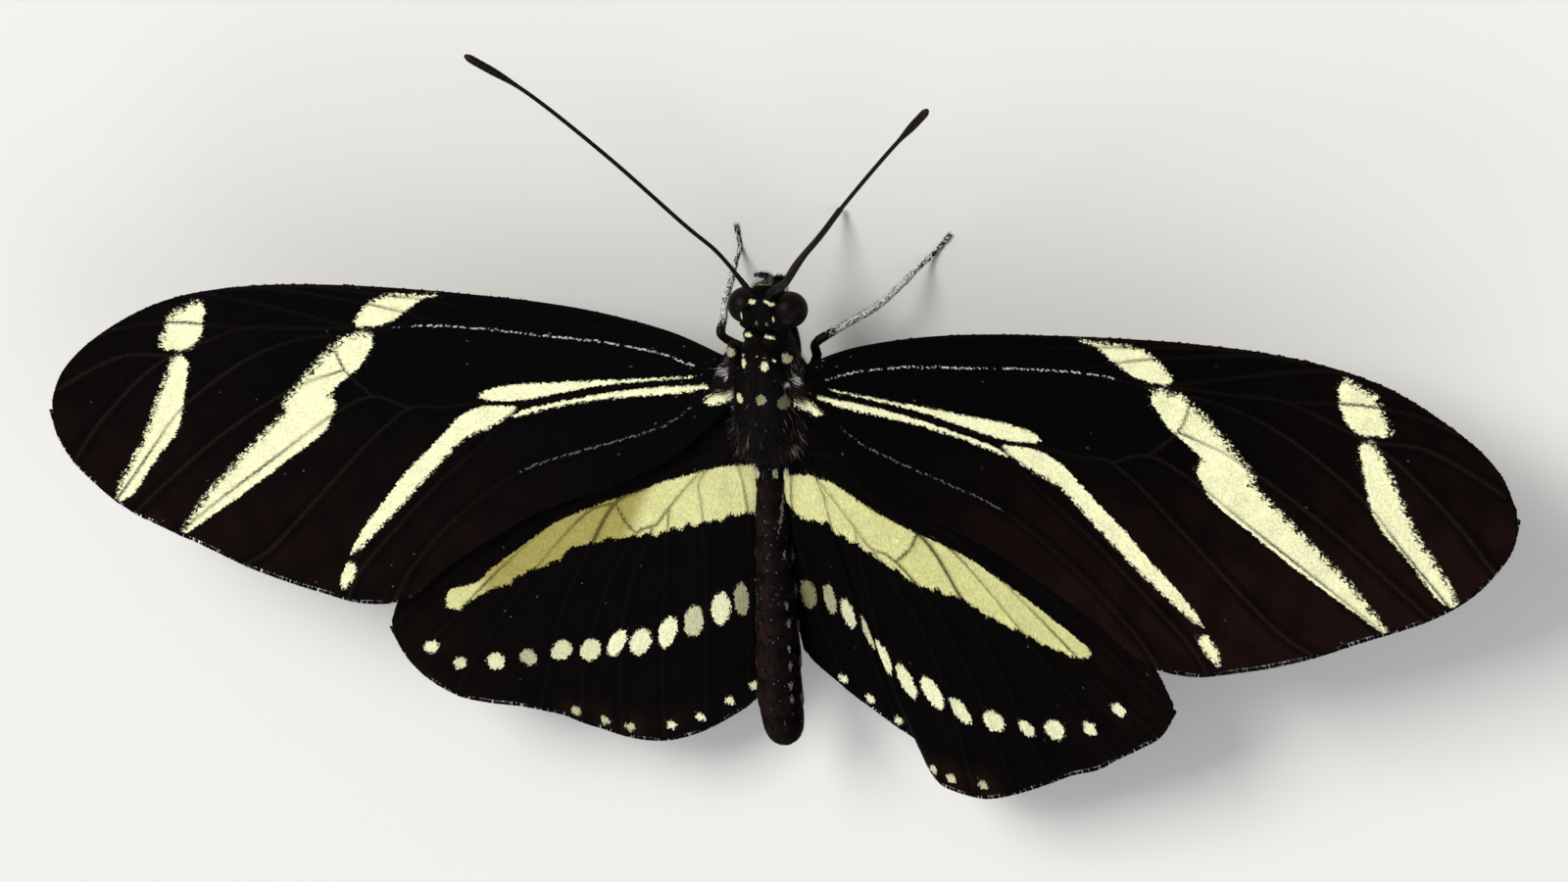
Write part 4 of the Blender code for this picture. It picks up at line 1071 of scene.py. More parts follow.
def build_body_cage():
    """All the flesh of head, trunk and legs as overlapping closed shapes, in millimetres."""
    bm = bmesh.new()
    rings = []
    for i in range(40):
        t = 0.5 - 0.5 * math.cos(math.pi * i / 39)
        y = THORAX_FRONT + (THORAX_BACK - THORAX_FRONT) * t
        swell = swelling(t, 0.42, 0.36, 2.2)
        taper = THORAX_TAPER * float(ease(-1.2, -2.4, y))
        half_width = THORAX_HALF_WIDTH * swell * (1.0 - taper) - COAT_DEPTH
        half_height = THORAX_HALF_HEIGHT * swell * (1.0 - taper) - COAT_DEPTH
        ring = oval_ring(y, THORAX_HALF_HEIGHT * swell * taper, half_width, half_height, 48)
        shaped = []
        for x, _, z in ring:
            groove = 0.1 * math.exp(-(x / 0.12) ** 2) * float(ease(0.6, 1.6, z)) * float(ease(1.6, 0.4, y))
            shield = 0.12 * math.exp(-((y - 1.75) / 0.16) ** 2) * float(ease(0.2, 1.2, z))
            shaped.append((x, y, z - groove - shield))
        rings.append(shaped)
    add_loft(bm, rings)
    rings = []
    for i in range(30):
        t = 0.5 - 0.5 * math.cos(math.pi * i / 29)
        y = HEAD_BACK + (HEAD_FRONT - HEAD_BACK) * t
        swell = swelling(t, 0.5, 0.3, 2.1)
        rings.append(oval_ring(y, HEAD_RISE, HEAD_HALF_WIDTH * swell - COAT_DEPTH,
                               HEAD_HALF_HEIGHT * swell - COAT_DEPTH, 36))
    add_loft(bm, rings)
    rings = []
    for i in range(161):
        t = i / 160
        y = ABDOMEN_FRONT - 0.5 + (ABDOMEN_BACK - 0.08 - ABDOMEN_FRONT + 0.5) * t
        half = abdomen_half(t)
        rings.append(oval_ring(y, float(abdomen_rise(t)), half, half * ABDOMEN_TALLNESS, 30,
                               float(abdomen_slip(t))))
    add_loft(bm, rings)
    add_ball(bm, (0.0, -3.6, 0.1), (0.72, 0.6, 0.8))
    add_ball(bm, (0.0, 3.75, 0.0), (0.85, 0.6, 0.9))
    add_ball(bm, (0.0, -5.85, -0.35), (0.62, 0.5, 0.75))
    add_ball(bm, (0.0, -4.7, 0.75), (1.05, 1.1, 0.66))
    for side in (1, -1):
        add_ball(bm, (side * 0.55, -3.45, 1.0), (0.6, 0.42, 0.5), (25.0, side * 20.0, 0.0))
        add_ball(bm, (side * 1.72, -2.3, 1.12), (0.4, 0.75, 0.32), (-15.0, side * 40.0, side * -12.0))
        add_ball(bm, (side * 1.75, -1.55, 0.85), (0.75, 0.95, 0.38), (0.0, 0.0, 0.0))
        add_ball(bm, (side * 1.5, 1.9, 0.3), (0.6, 1.1, 0.42), (0.0, 0.0, side * 8.0))
        add_ball(bm, (side * 0.55, -0.2, -1.75), (0.5, 0.75, 0.75))
        add_ball(bm, (side * 0.55, 1.4, -1.6), (0.48, 0.7, 0.7))
        add_ball(bm, (side * 0.58, -5.72, 1.12), (0.26, 0.26, 0.26))
        add_ball(bm, (side * 0.95, -4.05, 0.5), (0.62, 0.42, 0.62))
        add_ball(bm, (side * 0.86, -4.62, 0.98), (0.42, 0.5, 0.42))
        foreleg = smooth_path(mirrored(FORELEG, side), 6)
        half = np.interp(np.linspace(0.0, 1.0, len(foreleg)), (0.0, 0.5, 0.85, 1.0),
                         (0.2, 0.19, 0.16, 0.07))
        add_loft(bm, tube_rings(foreleg, half, 12))
    for route in PALPS:
        palp = smooth_path(route, 8)
        half = np.interp(np.linspace(0.0, 1.0, len(palp)), (0.0, 0.3, 0.6, 0.8, 0.93, 1.0),
                         (0.16, 0.18, 0.17, 0.12, 0.07, 0.03))
        add_loft(bm, tube_rings(palp, half, 12))
    for name in LEG_ROUTES:
        path = leg_path(name)
        add_loft(bm, tube_rings(path, leg_profile(name, np.linspace(0.0, 1.0, len(path))), 12))
    bmesh.ops.recalc_face_normals(bm, faces=bm.faces)
    return bm


def apply_modifiers(piece):
    """Bake an object's modifiers into its mesh."""
    bpy.context.view_layer.update()
    seen = piece.evaluated_get(bpy.context.evaluated_depsgraph_get())
    done = bpy.data.meshes.new_from_object(seen)
    piece.modifiers.clear()
    old = piece.data
    piece.data = done
    bpy.data.meshes.remove(old)


def body_pale(points):
    """How pale the body is at points in millimetres from the thorax centre: cover and paleness."""
    cover = np.zeros(len(points))
    pale = np.zeros(len(points))
    x, y, z = points.T
    marks = []
    for spot_x, spot_y, half_width, half_length, strength, slant in BODY_SPOTS_AND_GLINTS:
        outward = (x - spot_x) * math.copysign(1.0, spot_x)
        gap = np.hypot(outward / half_width, (y - spot_y - slant * outward) / half_length)
        marks.append((np.clip(0.5 + (1.0 - gap) / 0.35, 0.0, 1.0) * (z > 0.3), strength))
    bar_x, bar_z, half_width, half_height, strength = FRONS_BAR
    gap = np.hypot((x - bar_x) / half_width, (z - bar_z) / half_height)
    marks.append((np.clip(0.5 + (1.0 - gap) / 0.35, 0.0, 1.0) * (y < -5.7), strength))

    share = (y - ABDOMEN_FRONT) / (ABDOMEN_BACK - ABDOMEN_FRONT)
    lift = z - abdomen_rise(np.clip(share, 0.0, 1.0))
    beside = x - abdomen_slip(share)
    around = np.degrees(np.arctan2(lift, np.abs(beside)))
    rough = 0.7 * drift(around / 12.0, y, 0.3, 41)
    for place, strength in ABDOMEN_MARKS:
        gap = np.hypot((around - ABDOMEN_SPOT_ANGLE) / 5.0, (y - place) / 0.2) + rough
        here = np.clip(0.5 + (1.0 - gap) / 0.5, 0.0, 1.0)
        marks.append((here * (beside < 0.0), strength))
        marks.append((here * (beside > 0.0) * 0.8, 0.3 * strength))
    (start, low), (end, high) = FLANK_STREAK
    slanted = low + (high - low) * (y - start) / (end - start)
    gap = np.hypot((around - slanted) / 5.0, (y - 0.5 * (start + end)) / (0.5 * (end - start))) + rough
    marks.append((np.clip(0.5 + (1.0 - gap) / 0.5, 0.0, 1.0) * (beside < 0.0), 0.4))
    ring = (share * ABDOMEN_RINGS) % 1.0
    on_abdomen = (share > 0.02) & (share < 0.94)
    gap = np.hypot((around - FLANK_SPOT_ANGLE) / 11.0, (ring - 0.6) / 0.15) + rough
    marks.append((np.where(on_abdomen, np.clip(0.5 + (1.0 - gap) / 0.5, 0.0, 1.0), 0.0), 0.3))
    for here, strength in marks:
        pale = np.where(here > cover, strength, pale)
        cover = np.maximum(cover, here)
    return cover, pale


def body_colour(points, settings, rng):
    """Colour of the body's skin or of a scale rooted at each point."""
    count = len(points)
    x, y, z = points.T
    cover, pale = body_pale(points)
    share = np.clip((y - ABDOMEN_FRONT) / (ABDOMEN_BACK - ABDOMEN_FRONT), 0.0, 1.0)
    ring = (share * ABDOMEN_RINGS) % 1.0
    lit_side = 0.3 + 0.7 * ease(-0.3, 0.5, x - abdomen_slip(share))
    brown = ease(0.02, 0.12, share) * (0.35 + 0.6 * ease(0.1, 0.6, ring)) * lit_side
    brown = brown + 0.1 * hair_band(y, -3.4, 3.6)
    brown = np.clip(brown * (1.0 + 0.75 * drift(x * 1.6, y, 0.9, 31)), 0.0, 1.0)
    ground = blend_colours(settings.black, settings.brown, brown)
    lit = blend_colours(settings.olive, settings.cream, np.clip((pale - 0.3) / 0.55, 0.0, 1.0))
    lit = lit * np.clip(0.45 + 2.0 * pale, 0.0, 1.0)[:, None]
    lit = np.where((share > 0.08)[:, None], np.array(settings.grey) * (0.25 + pale)[:, None], lit)
    if rng is None:
        return blend_colours_by_row(ground, lit, ease(0.25, 0.75, cover))
    # Painted highlights: sparse bluish grey scales, most of them on the abdomen, stand in for its grey-blue
    # highlights.
    dust_and_glints = (rng.random(count) < 0.002 + 0.006 * (y > ABDOMEN_FRONT)).astype(float)
    ground = blend_colours_by_row(ground, np.array(settings.grey) * (0.8, 0.95, 1.25), 0.35 * dust_and_glints)
    chosen = mottled(cover, rng.random(count))
    colour = blend_colours_by_row(ground, lit, chosen)
    return np.clip(colour * (1.0 + 0.12 * rng.standard_normal(count))[:, None], 0.0004, 1.0)


def leg_reach(points):
    """Gap of each point to the nearest leg, the leg's direction there, and the share along it."""
    best = np.full(len(points), 1e9)
    heading = np.zeros((len(points), 3))
    share = np.zeros(len(points))
    for name in LEG_ROUTES:
        path = leg_path(name)
        tangents = np.gradient(path, axis=0)
        tangents = tangents / np.linalg.norm(tangents, axis=1)[:, None]
        for k, (place, tangent) in enumerate(zip(path, tangents)):
            gap = np.linalg.norm(points - place, axis=1)
            nearer = gap < best
            best = np.where(nearer, gap, best)
            heading = np.where(nearer[:, None], tangent, heading)
            share = np.where(nearer, k / (len(path) - 1), share)
    return best, heading, share


def leg_colour(points, normals, share, settings, rng):
    """Dark legs whose shins are silvery on top."""
    count = len(points)
    silver = ease(0.36, 0.44, share) * (0.35 + 0.5 * ease(-0.3, 0.6, normals[:, 2]))
    silver = silver * (1.0 - 0.35 * ease(0.7, 0.8, share))
    ground = np.tile(np.array(settings.brown) * 0.2 + np.array(settings.black) * 0.8, (count, 1))
    if rng is None:
        return blend_colours(ground, settings.silver, 0.45 * silver)
    chosen = (rng.random(count) < silver).astype(float)
    colour = blend_colours(ground, settings.silver, chosen)
    return np.clip(colour * (1.0 + 0.2 * rng.standard_normal(count))[:, None], 0.001, 1.0)


def mesh_arrays(mesh):
    """Points and normals of a mesh as arrays."""
    points = np.zeros(len(mesh.vertices) * 3, dtype=np.float32)
    normals = np.zeros(len(mesh.vertices) * 3, dtype=np.float32)
    mesh.vertices.foreach_get("co", points)
    mesh.vertices.foreach_get("normal", normals)
    return points.reshape(-1, 3).astype(float), normals.reshape(-1, 3).astype(float)


def make_body_skin(settings, material):
    """One skin over head, trunk, legs and palps, grown together without a seam."""
    cage = build_body_cage()
    mesh = bpy.data.meshes.new("body_skin")
    cage.to_mesh(mesh)
    cage.free()
    piece = bpy.data.objects.new("body_skin", mesh)
    bpy.context.scene.collection.objects.link(piece)
    grown = piece.modifiers.new("Grow together", "REMESH")
    grown.mode = "VOXEL"
    grown.voxel_size = SKIN_VOXEL
    eased = piece.modifiers.new("Ease", "SMOOTH")
    eased.factor = 0.5
    eased.iterations = 3
    apply_modifiers(piece)
    mesh = piece.data
    points, normals = mesh_arrays(mesh)
    points[:, 2] = np.maximum(points[:, 2], FLOOR_GAP - THORAX[2])
    mesh.vertices.foreach_set("co", np.ascontiguousarray(points, dtype=np.float32).ravel())
    gap, _, share = leg_reach(points)
    on_leg = (gap < 0.42) & (share > 0.12)
    tints = body_colour(points, settings, None)
    leg_tints = leg_colour(points, normals, share, settings, None)
    tints = np.where(on_leg[:, None], leg_tints, tints)
    mesh.transform(Matrix.Translation(Vector(THORAX * MM)) @ Matrix.Scale(MM, 4))
    mesh.shade_smooth()
    paint(mesh, tints)
    mesh.materials.clear()
    mesh.materials.append(material)
    return hand_over(piece, "body_coat", "head", "thorax", "abdomen", "palp_left", "palp_right",
                     "foreleg_left", "foreleg_right", *LEG_ROUTES)


def skin_roots(gap, wanted, rng, tries=6):
    """Evenly scattered places on the body skin where wanted(points, normals) holds."""
    mesh = bpy.data.objects["body_skin"].data
    points, normals = mesh_arrays(mesh)
    points = points / MM - THORAX
    mesh.calc_loop_triangles()
    corners = np.zeros(len(mesh.loop_triangles) * 3, dtype=np.int32)
    mesh.loop_triangles.foreach_get("vertices", corners)
    corners = corners.reshape(-1, 3)
    a, b, c = (points[corners[:, k]] for k in range(3))
    keep = wanted((a + b + c) / 3.0, normals[corners[:, 0]])
    corners, a, b, c = corners[keep], a[keep], b[keep], c[keep]
    area = 0.5 * np.linalg.norm(np.cross(b - a, c - a), axis=1)
    count = int(area.sum() / gap ** 2 * tries)
    chosen = rng.choice(len(area), size=count, p=area / area.sum())
    first = rng.random(count)
    second = rng.random(count)
    flip = first + second > 1.0
    first = np.where(flip, 1.0 - first, first)[:, None]
    second = np.where(flip, 1.0 - second, second)[:, None]
    place = a[chosen] * (1.0 - first - second) + b[chosen] * first + c[chosen] * second
    face_normals = sum(normals[corners[chosen, k]] for k in range(3))
    face_normals = face_normals / np.linalg.norm(face_normals, axis=1)[:, None]
    cells = np.floor(place / gap).astype(np.int64)
    _, kept = np.unique(cells, axis=0, return_index=True)
    return place[kept], face_normals[kept]


def lie_along(normals, wish):
    """Directions as near to the wished ones as the surface allows, and those across them."""
    flat = wish - normals * (wish * normals).sum(axis=1)[:, None]
    flat = flat / np.maximum(np.linalg.norm(flat, axis=1), 1e-6)[:, None]
    return flat, np.cross(normals, flat)


def trunk_unwrap(points):
    """Unwrap of the trunk's own shape: along the body, and round it."""
    x, y, z = points.T
    share = np.clip((y - ABDOMEN_FRONT) / (ABDOMEN_BACK - ABDOMEN_FRONT), 0.0, 1.0)
    middle = np.where(y > ABDOMEN_FRONT, abdomen_rise(share), 0.0)
    around = np.arctan2(x - abdomen_slip(share), z - middle) / (2.0 * math.pi) + 0.5
    return np.stack(((y + 7.5) / 30.0, 0.02 + 0.46 * around), axis=1)


def leg_unwrap(points, share):
    """Unwrap of the legs: along each, side by side."""
    side = np.where(points[:, 0] > 0.0, 0.0, 0.24)
    pair = np.where(points[:, 1] > 0.9, 0.12, 0.0)
    around = np.arctan2(points[:, 0] * 3.0, points[:, 2] * 3.0) / (2.0 * math.pi) + 0.5
    return np.stack((0.02 + 0.95 * share, 0.51 + side + pair + 0.1 * around), axis=1)


def plant(name, roots, normals, heading, length, width, lean, colours, unwrap, material, slot, shape=SCALE_SHAPE):
    """Set small vanes on the skin, each leaning from its root along its heading."""
    count = len(roots)
    across = np.cross(normals, heading)
    points = []
    for along, side, height in shape:
        point = roots + heading * (along * length * np.cos(lean))[:, None]
        point = point + normals * (0.004 + height * length * np.sin(lean))[:, None]
        point = point + across * (side * width)[:, None]
        points.append(point)
    placed = np.stack(points, axis=1).reshape(-1, 3) + THORAX
    placed[:, 2] = np.maximum(placed[:, 2], FLOOR_GAP)
    placed = placed * MM
    faces = copies_of(SCALE_FACES, len(shape), count)
    tints = np.repeat(colours, len(shape), axis=0)
    piece = mesh_piece(name, placed, faces, tints, material, tuft_patches(unwrap, shape), smooth=False)
    return hand_over(piece, slot)


def trunk_wish(points):
    """Which way the coat of head and trunk lies: back along the body."""
    wish = np.zeros_like(points)
    wish[:, 1] = 1.0
    wish[:, 0] = 0.25 * np.sign(points[:, 0]) * ease(-3.0, -1.0, points[:, 1]) * ease(4.5, 3.0, points[:, 1])
    return wish


def on_trunk(points, normals):
    """True on head, thorax and abdomen."""
    gap, _, share = leg_reach(points)
    return ~((gap < 0.42) & (share > 0.12))


def on_legs(points, normals):
    """True on the four walking legs."""
    gap, _, share = leg_reach(points)
    return (gap < 0.42) & (share > 0.12)


def clear_of_eyes(points, gap):
    """True where a point isn't inside an eye."""
    clear = np.ones(len(points), dtype=bool)
    for side in (1, -1):
        centre = np.array((side * EYE_CENTRE[0], EYE_CENTRE[1], EYE_CENTRE[2]))
        clear &= np.linalg.norm(points - centre, axis=1) > EYE_RADIUS + gap
    return clear


def make_body_scales(settings, material):
    """Flat scales all over head and trunk, smallest on the head."""
    rng = np.random.default_rng(101)
    roots, normals = skin_roots(0.068, on_trunk, rng)
    clear = clear_of_eyes(roots, 0.02)
    roots, normals = roots[clear], normals[clear]
    count = len(roots)
    wish = trunk_wish(roots) + rng.normal(0.0, 0.12, (count, 3))
    heading, _ = lie_along(normals, wish)
    head = ease(-3.0, -3.6, roots[:, 1])
    length = rng.uniform(0.16, 0.22, count) * (1.0 - 0.35 * head)
    width = rng.uniform(0.08, 0.11, count) * (1.0 - 0.2 * head)
    lean = rng.uniform(0.12, 0.4, count)
    colours = body_colour(roots, settings, rng)
    return plant("trunk_scales", roots, normals, heading, length, width, lean, colours,
                 trunk_unwrap(roots), material, "body_coat")


def make_leg_scales(settings, material):
    """Narrow scales down the legs, silvery on top of the shins, with spines between them."""
    rng = np.random.default_rng(202)
    roots, normals = skin_roots(0.075, on_legs, rng)
    _, down_leg, share = leg_reach(roots)
    count = len(roots)
    heading, _ = lie_along(normals, down_leg + rng.normal(0.0, 0.12, (count, 3)))
    length = rng.uniform(0.13, 0.2, count)
    width = rng.uniform(0.06, 0.09, count)
    lean = rng.uniform(0.1, 0.3, count)
    colours = leg_colour(roots, normals, share, settings, rng)
    piece = plant("leg_scales", roots, normals, heading, length, width, lean, colours,
                  leg_unwrap(roots, share), material, "leg_scales")
    spines = rng.random(count) < np.where(share > 0.42, 0.035, 0.0)
    roots, normals, heading = roots[spines], normals[spines], heading[spines]
    count = len(roots)
    plant("leg_spines", roots, normals, heading, rng.uniform(0.16, 0.3, count), np.full(count, 0.03),
          rng.uniform(0.6, 0.9, count), np.tile(np.array(settings.horn), (count, 1)),
          leg_unwrap(roots, share[spines]), material, "leg_scales", HAIR_SHAPE)
    return piece


def hair_band(y, low, high, fade=0.4):
    """1 between two places along the body, fading out past them."""
    return ease(low - fade, low, y) * ease(high + fade, high, y)


def make_body_hair(settings, material):
    """Hair: a soft pelt on the thorax, tufts at the wing bases, short bristles on the head."""
    rng = np.random.default_rng(303)
    longest = settings.hair_length / MM
    roots, normals = skin_roots(0.1, on_trunk, rng)
    clear = clear_of_eyes(roots, 0.03)
    roots, normals = roots[clear], normals[clear]
    x, y, z = roots.T
    below = ease(0.2, -0.8, z)
    by_wing = np.exp(-((np.abs(x) - 1.85) / 0.45) ** 2) * hair_band(y, -2.6, 3.4) * hair_band(z, -0.2, 1.5)
    waist = hair_band(y, 1.6, 4.2) * ease(0.0, 0.5, z) * (0.25 + 0.75 * ease(-0.2, 0.7, x))
    pelt = hair_band(y, -3.3, 3.2) * (0.25 + 0.5 * below)
    head = ease(-3.9, -4.3, y)
    tail = 0.12 * ease(4.5, 5.5, y) + 0.4 * ease(19.0, 19.8, y)
    density = np.clip(0.9 * by_wing + 0.6 * waist + pelt + 0.75 * head + tail, 0.0, 1.0)
    kept = rng.random(len(roots)) < density
    roots, normals = roots[kept], normals[kept]
    by_wing, waist, head, below = by_wing[kept], waist[kept], head[kept], below[kept]
    tail = tail[kept]
    x, y, z = roots.T
    count = len(roots)
    wish = trunk_wish(roots) + rng.normal(0.0, 0.22, (count, 3))
    wish[:, 0] += np.sign(x) * 0.7 * by_wing
    wish[:, 1] += -1.6 * head * ease(-4.9, -5.6, y)
    heading, _ = lie_along(normals, wish)
    length = longest * rng.uniform(0.45, 1.0, count)
    length = length * (1.0 - 0.62 * head) * (1.0 - 0.55 * (tail > 0.05)) * (0.55 + 0.45 * np.maximum(by_wing, waist) + 0.2 * below)
    width = rng.uniform(0.022, 0.038, count)
    lean = rng.uniform(0.18, 0.5, count) + 0.45 * head
    browner = np.clip(0.7 * by_wing + 0.75 * waist + 0.08, 0.0, 0.85)
    chosen = (rng.random(count) < browner).astype(float)
    tone = blend_colours(settings.bistre, settings.grey, (rng.random(count) < 0.1) * 0.6)
    colours = blend_colours_by_row(np.array(settings.black), tone, chosen)
    colours = np.clip(colours * (1.0 + 0.15 * rng.standard_normal(count))[:, None], 0.0004, 1.0)
    cover, _ = body_pale(roots)
    bare = cover < 0.35
    return plant("body_hair", roots[bare], normals[bare], heading[bare], length[bare], width[bare],
                 lean[bare], colours[bare], trunk_unwrap(roots[bare]), material, "body_coat", HAIR_SHAPE)


def make_base_tufts(settings, material):
    """Hair that leaves the body in tufts: over the wing bases, in front of the eyes, on the face."""
    rng = np.random.default_rng(404)
    tufts = []
    for side in (1, -1):
        for start, aim, spread, count, tone, shortest, longest, width in TUFTS:
            wander = rng.normal(0.0, spread * 0.5, (count, 3)) * (1.0, 1.0, 0.3)
            tufts.append((np.array(start) * (side, 1.0, 1.0) + wander,
                          np.array(aim) * (side, 1.0, 1.0) + rng.normal(0.0, 0.16, (count, 3)),
                          np.tile(np.array(getattr(settings, tone)), (count, 1)),
                          rng.uniform(shortest, longest, count),
                          width * rng.uniform(0.8, 1.2, count)))
    roots, heads, tones, length, width = (np.concatenate(column) for column in zip(*tufts))
    count = len(roots)
    normals = np.tile((0.0, 0.0, 1.0), (count, 1))
    heading = heads / np.linalg.norm(heads, axis=1)[:, None]
    colours = np.clip(tones * rng.uniform(0.4, 1.1, count)[:, None], 0.0, 1.0)
    return plant("wing_base_tufts", roots, normals, heading, length, width,
                 rng.uniform(0.02, 0.18, count), colours, trunk_unwrap(roots), material,
                 "body_coat", HAIR_SHAPE)


def eye_material(settings):
    """Dark maroon facets under a clear gloss, with darker clouds that look like false pupils."""
    material = bpy.data.materials.new("eye_facets")
    material.use_nodes = True
    nodes = material.node_tree.nodes
    links = material.node_tree.links
    shader = nodes["Principled BSDF"]
    place = nodes.new("ShaderNodeTexCoord")
    tint = nodes.new("ShaderNodeAttribute")
    tint.attribute_name = "tint"
    facets = nodes.new("ShaderNodeTexVoronoi")
    facets.inputs["Scale"].default_value = 1.0 / (0.034 * MM)
    relief = nodes.new("ShaderNodeBump")
    relief.inputs["Strength"].default_value = 0.25
    relief.inputs["Distance"].default_value = 0.006 * MM
    relief.invert = True
    links.new(place.outputs["Object"], facets.inputs["Vector"])
    links.new(facets.outputs["Distance"], relief.inputs["Height"])
    links.new(relief.outputs["Normal"], shader.inputs["Normal"])
    links.new(tint.outputs["Color"], shader.inputs["Base Color"])
    shader.inputs["Roughness"].default_value = 0.4
    shader.inputs["Specular IOR Level"].default_value = 0.05
    return material


def make_eyes(settings):
    """Two large round compound eyes."""
    material = eye_material(settings)
    for label, side in (("left", 1), ("right", -1)):
        bm = bmesh.new()
        bmesh.ops.create_icosphere(bm, subdivisions=6, radius=EYE_RADIUS)
        mesh = bpy.data.meshes.new("compound_eye_" + label)
        bm.to_mesh(mesh)
        bm.free()
        points, _ = mesh_arrays(mesh)
        outward = points / np.linalg.norm(points, axis=1)[:, None]
        tone = np.zeros(len(points))
        for aim, size in (((0.5, -0.35, 0.79), 0.3), ((0.8, -0.55, 0.25), 0.24), ((0.75, 0.2, 0.63), 0.24),
                          ((0.88, -0.1, -0.45), 0.3), ((0.35, -0.85, 0.3), 0.26)):
            way = np.array(aim) * (side, 1.0, 1.0)
            way = way / np.linalg.norm(way)
            tone = np.maximum(tone, np.exp(-((1.0 - outward @ way) / (size * size * 0.5)) ** 2))
        cloud = 0.5 + 0.5 * drift(outward[:, 2], outward[:, 1] * 1.2, 0.55, 8)
        colours = blend_colours(np.array(settings.eye) * 1.3, np.array(settings.eye) * 0.6,
                                np.clip(cloud, 0.0, 1.0))
        colours = blend_colours_by_row(colours, np.array(settings.black) * 0.6, 0.85 * tone)
        mesh.transform(Matrix.Translation(Vector((THORAX + (side * EYE_CENTRE[0], *EYE_CENTRE[1:])) * MM))
                       @ Matrix.Scale(MM, 4))
        mesh.shade_smooth()
        paint(mesh, colours)
        mesh.materials.append(material)
        piece = bpy.data.objects.new(mesh.name, mesh)
        bpy.context.scene.collection.objects.link(piece)
        hand_over(piece, "eye_facets", "eye_" + label)


def ringed_tube(name, path, radii, sides, colours, material):
    """A closed tube from a path and the half thickness at each place, in millimetres."""
    bm = bmesh.new()
    add_loft(bm, tube_rings(path, radii, sides))
    bmesh.ops.recalc_face_normals(bm, faces=bm.faces)
    mesh = bpy.data.meshes.new(name)
    bm.to_mesh(mesh)
    bm.free()
    mesh.transform(Matrix.Translation(Vector(THORAX * MM)) @ Matrix.Scale(MM, 4))
    mesh.shade_smooth()
    paint(mesh, np.repeat(colours, sides, axis=0))
    mesh.materials.append(material)
    piece = bpy.data.objects.new(name, mesh)
    bpy.context.scene.collection.objects.link(piece)
    return piece


def along_path(points, count):
    """Evenly spaced places on a smooth route, and the length run to each."""
    fine = smooth_path(points, 24)
    run = np.concatenate(((0.0,), np.cumsum(np.linalg.norm(np.diff(fine, axis=0), axis=1))))
    even = np.linspace(0.0, run[-1], count)
    return np.stack([np.interp(even, run, fine[:, k]) for k in range(3)], axis=1), even


def make_feelers(settings, material):
    """Two slender ringed feelers that thicken into a blunt club."""
    for label, route in FEELERS.items():
        path, run = along_path(route, 420)
        total = run[-1]
        to_tip = total - run
        shaft = 0.125 + 0.03 * np.exp(-(run / 0.9) ** 2)
        thicker, near, far, painted_sheen = FEELER_BASES[label]
        base = thicker * ease(far, near, run) - 0.03 * np.exp(-((run - 0.72) / 0.07) ** 2)
        club = 0.115 * ease(3.6, 1.5, to_tip)
        end = np.sqrt(np.clip(1.0 - (np.clip(0.55 - to_tip, 0.0, 0.55) / 0.56) ** 2, 0.02, 1.0))
        ring = 1.0 - 0.09 * np.clip(np.cos(2.0 * math.pi * run / 0.36), 0.55, 1.0)
        radii = (shaft + base + club) * end * ring
        tone = ease(0.5, 0.0, to_tip) * 0.6
        joint = np.clip(np.cos(2.0 * math.pi * run / 0.36), 0.0, 1.0) * ease(1.2, 2.0, run)
        colours = blend_colours(settings.black, np.array(settings.horn) * 1.3,
                                np.clip(tone + 0.35 * joint, 0.0, 1.0))
        colours = blend_colours_by_row(colours, settings.brown, 0.7 * ease(0.7, 0.1, to_tip))
        # Painted sheen: a grey band near the base of the right feeler.
        colours = blend_colours_by_row(colours, settings.grey, painted_sheen * hair_band(run, 1.1, 2.0, 0.3))
        piece = ringed_tube("feeler_" + label, path, radii, 16, colours, material)
        hand_over(piece, "feeler_horn", "antenna_" + label)


def make_proboscis(settings, material):
    """The two half tubes of the uncoiled proboscis, side by side."""
    pieces = []
    path, run = along_path(PROBOSCIS, 220)
    across = np.cross(np.gradient(path, axis=0), (0.0, -0.4, 1.0))
    across = across / np.linalg.norm(across, axis=1)[:, None]
    for side in (1, -1):
        thin = 0.13 - 0.03 * ease(0.0, run[-1], run)
        ring = 1.0 - 0.06 * np.clip(np.cos(2.0 * math.pi * run / 0.16), 0.3, 1.0)
        colours = blend_colours(np.array(settings.horn) * 1.6, settings.black, ease(run[-1] - 1.2, run[-1], run))
        pieces.append(ringed_tube("proboscis_half", path + side * 0.085 * across, thin * ring, 14, colours, material))
    first, second = pieces
    bm = bmesh.new()
    bm.from_mesh(first.data)
    bm.from_mesh(second.data)
    bm.to_mesh(first.data)
    bm.free()
    bpy.data.objects.remove(second, do_unlink=True)
    first.name = "proboscis_tubes"
    hand_over(first, "feeler_horn", "proboscis")


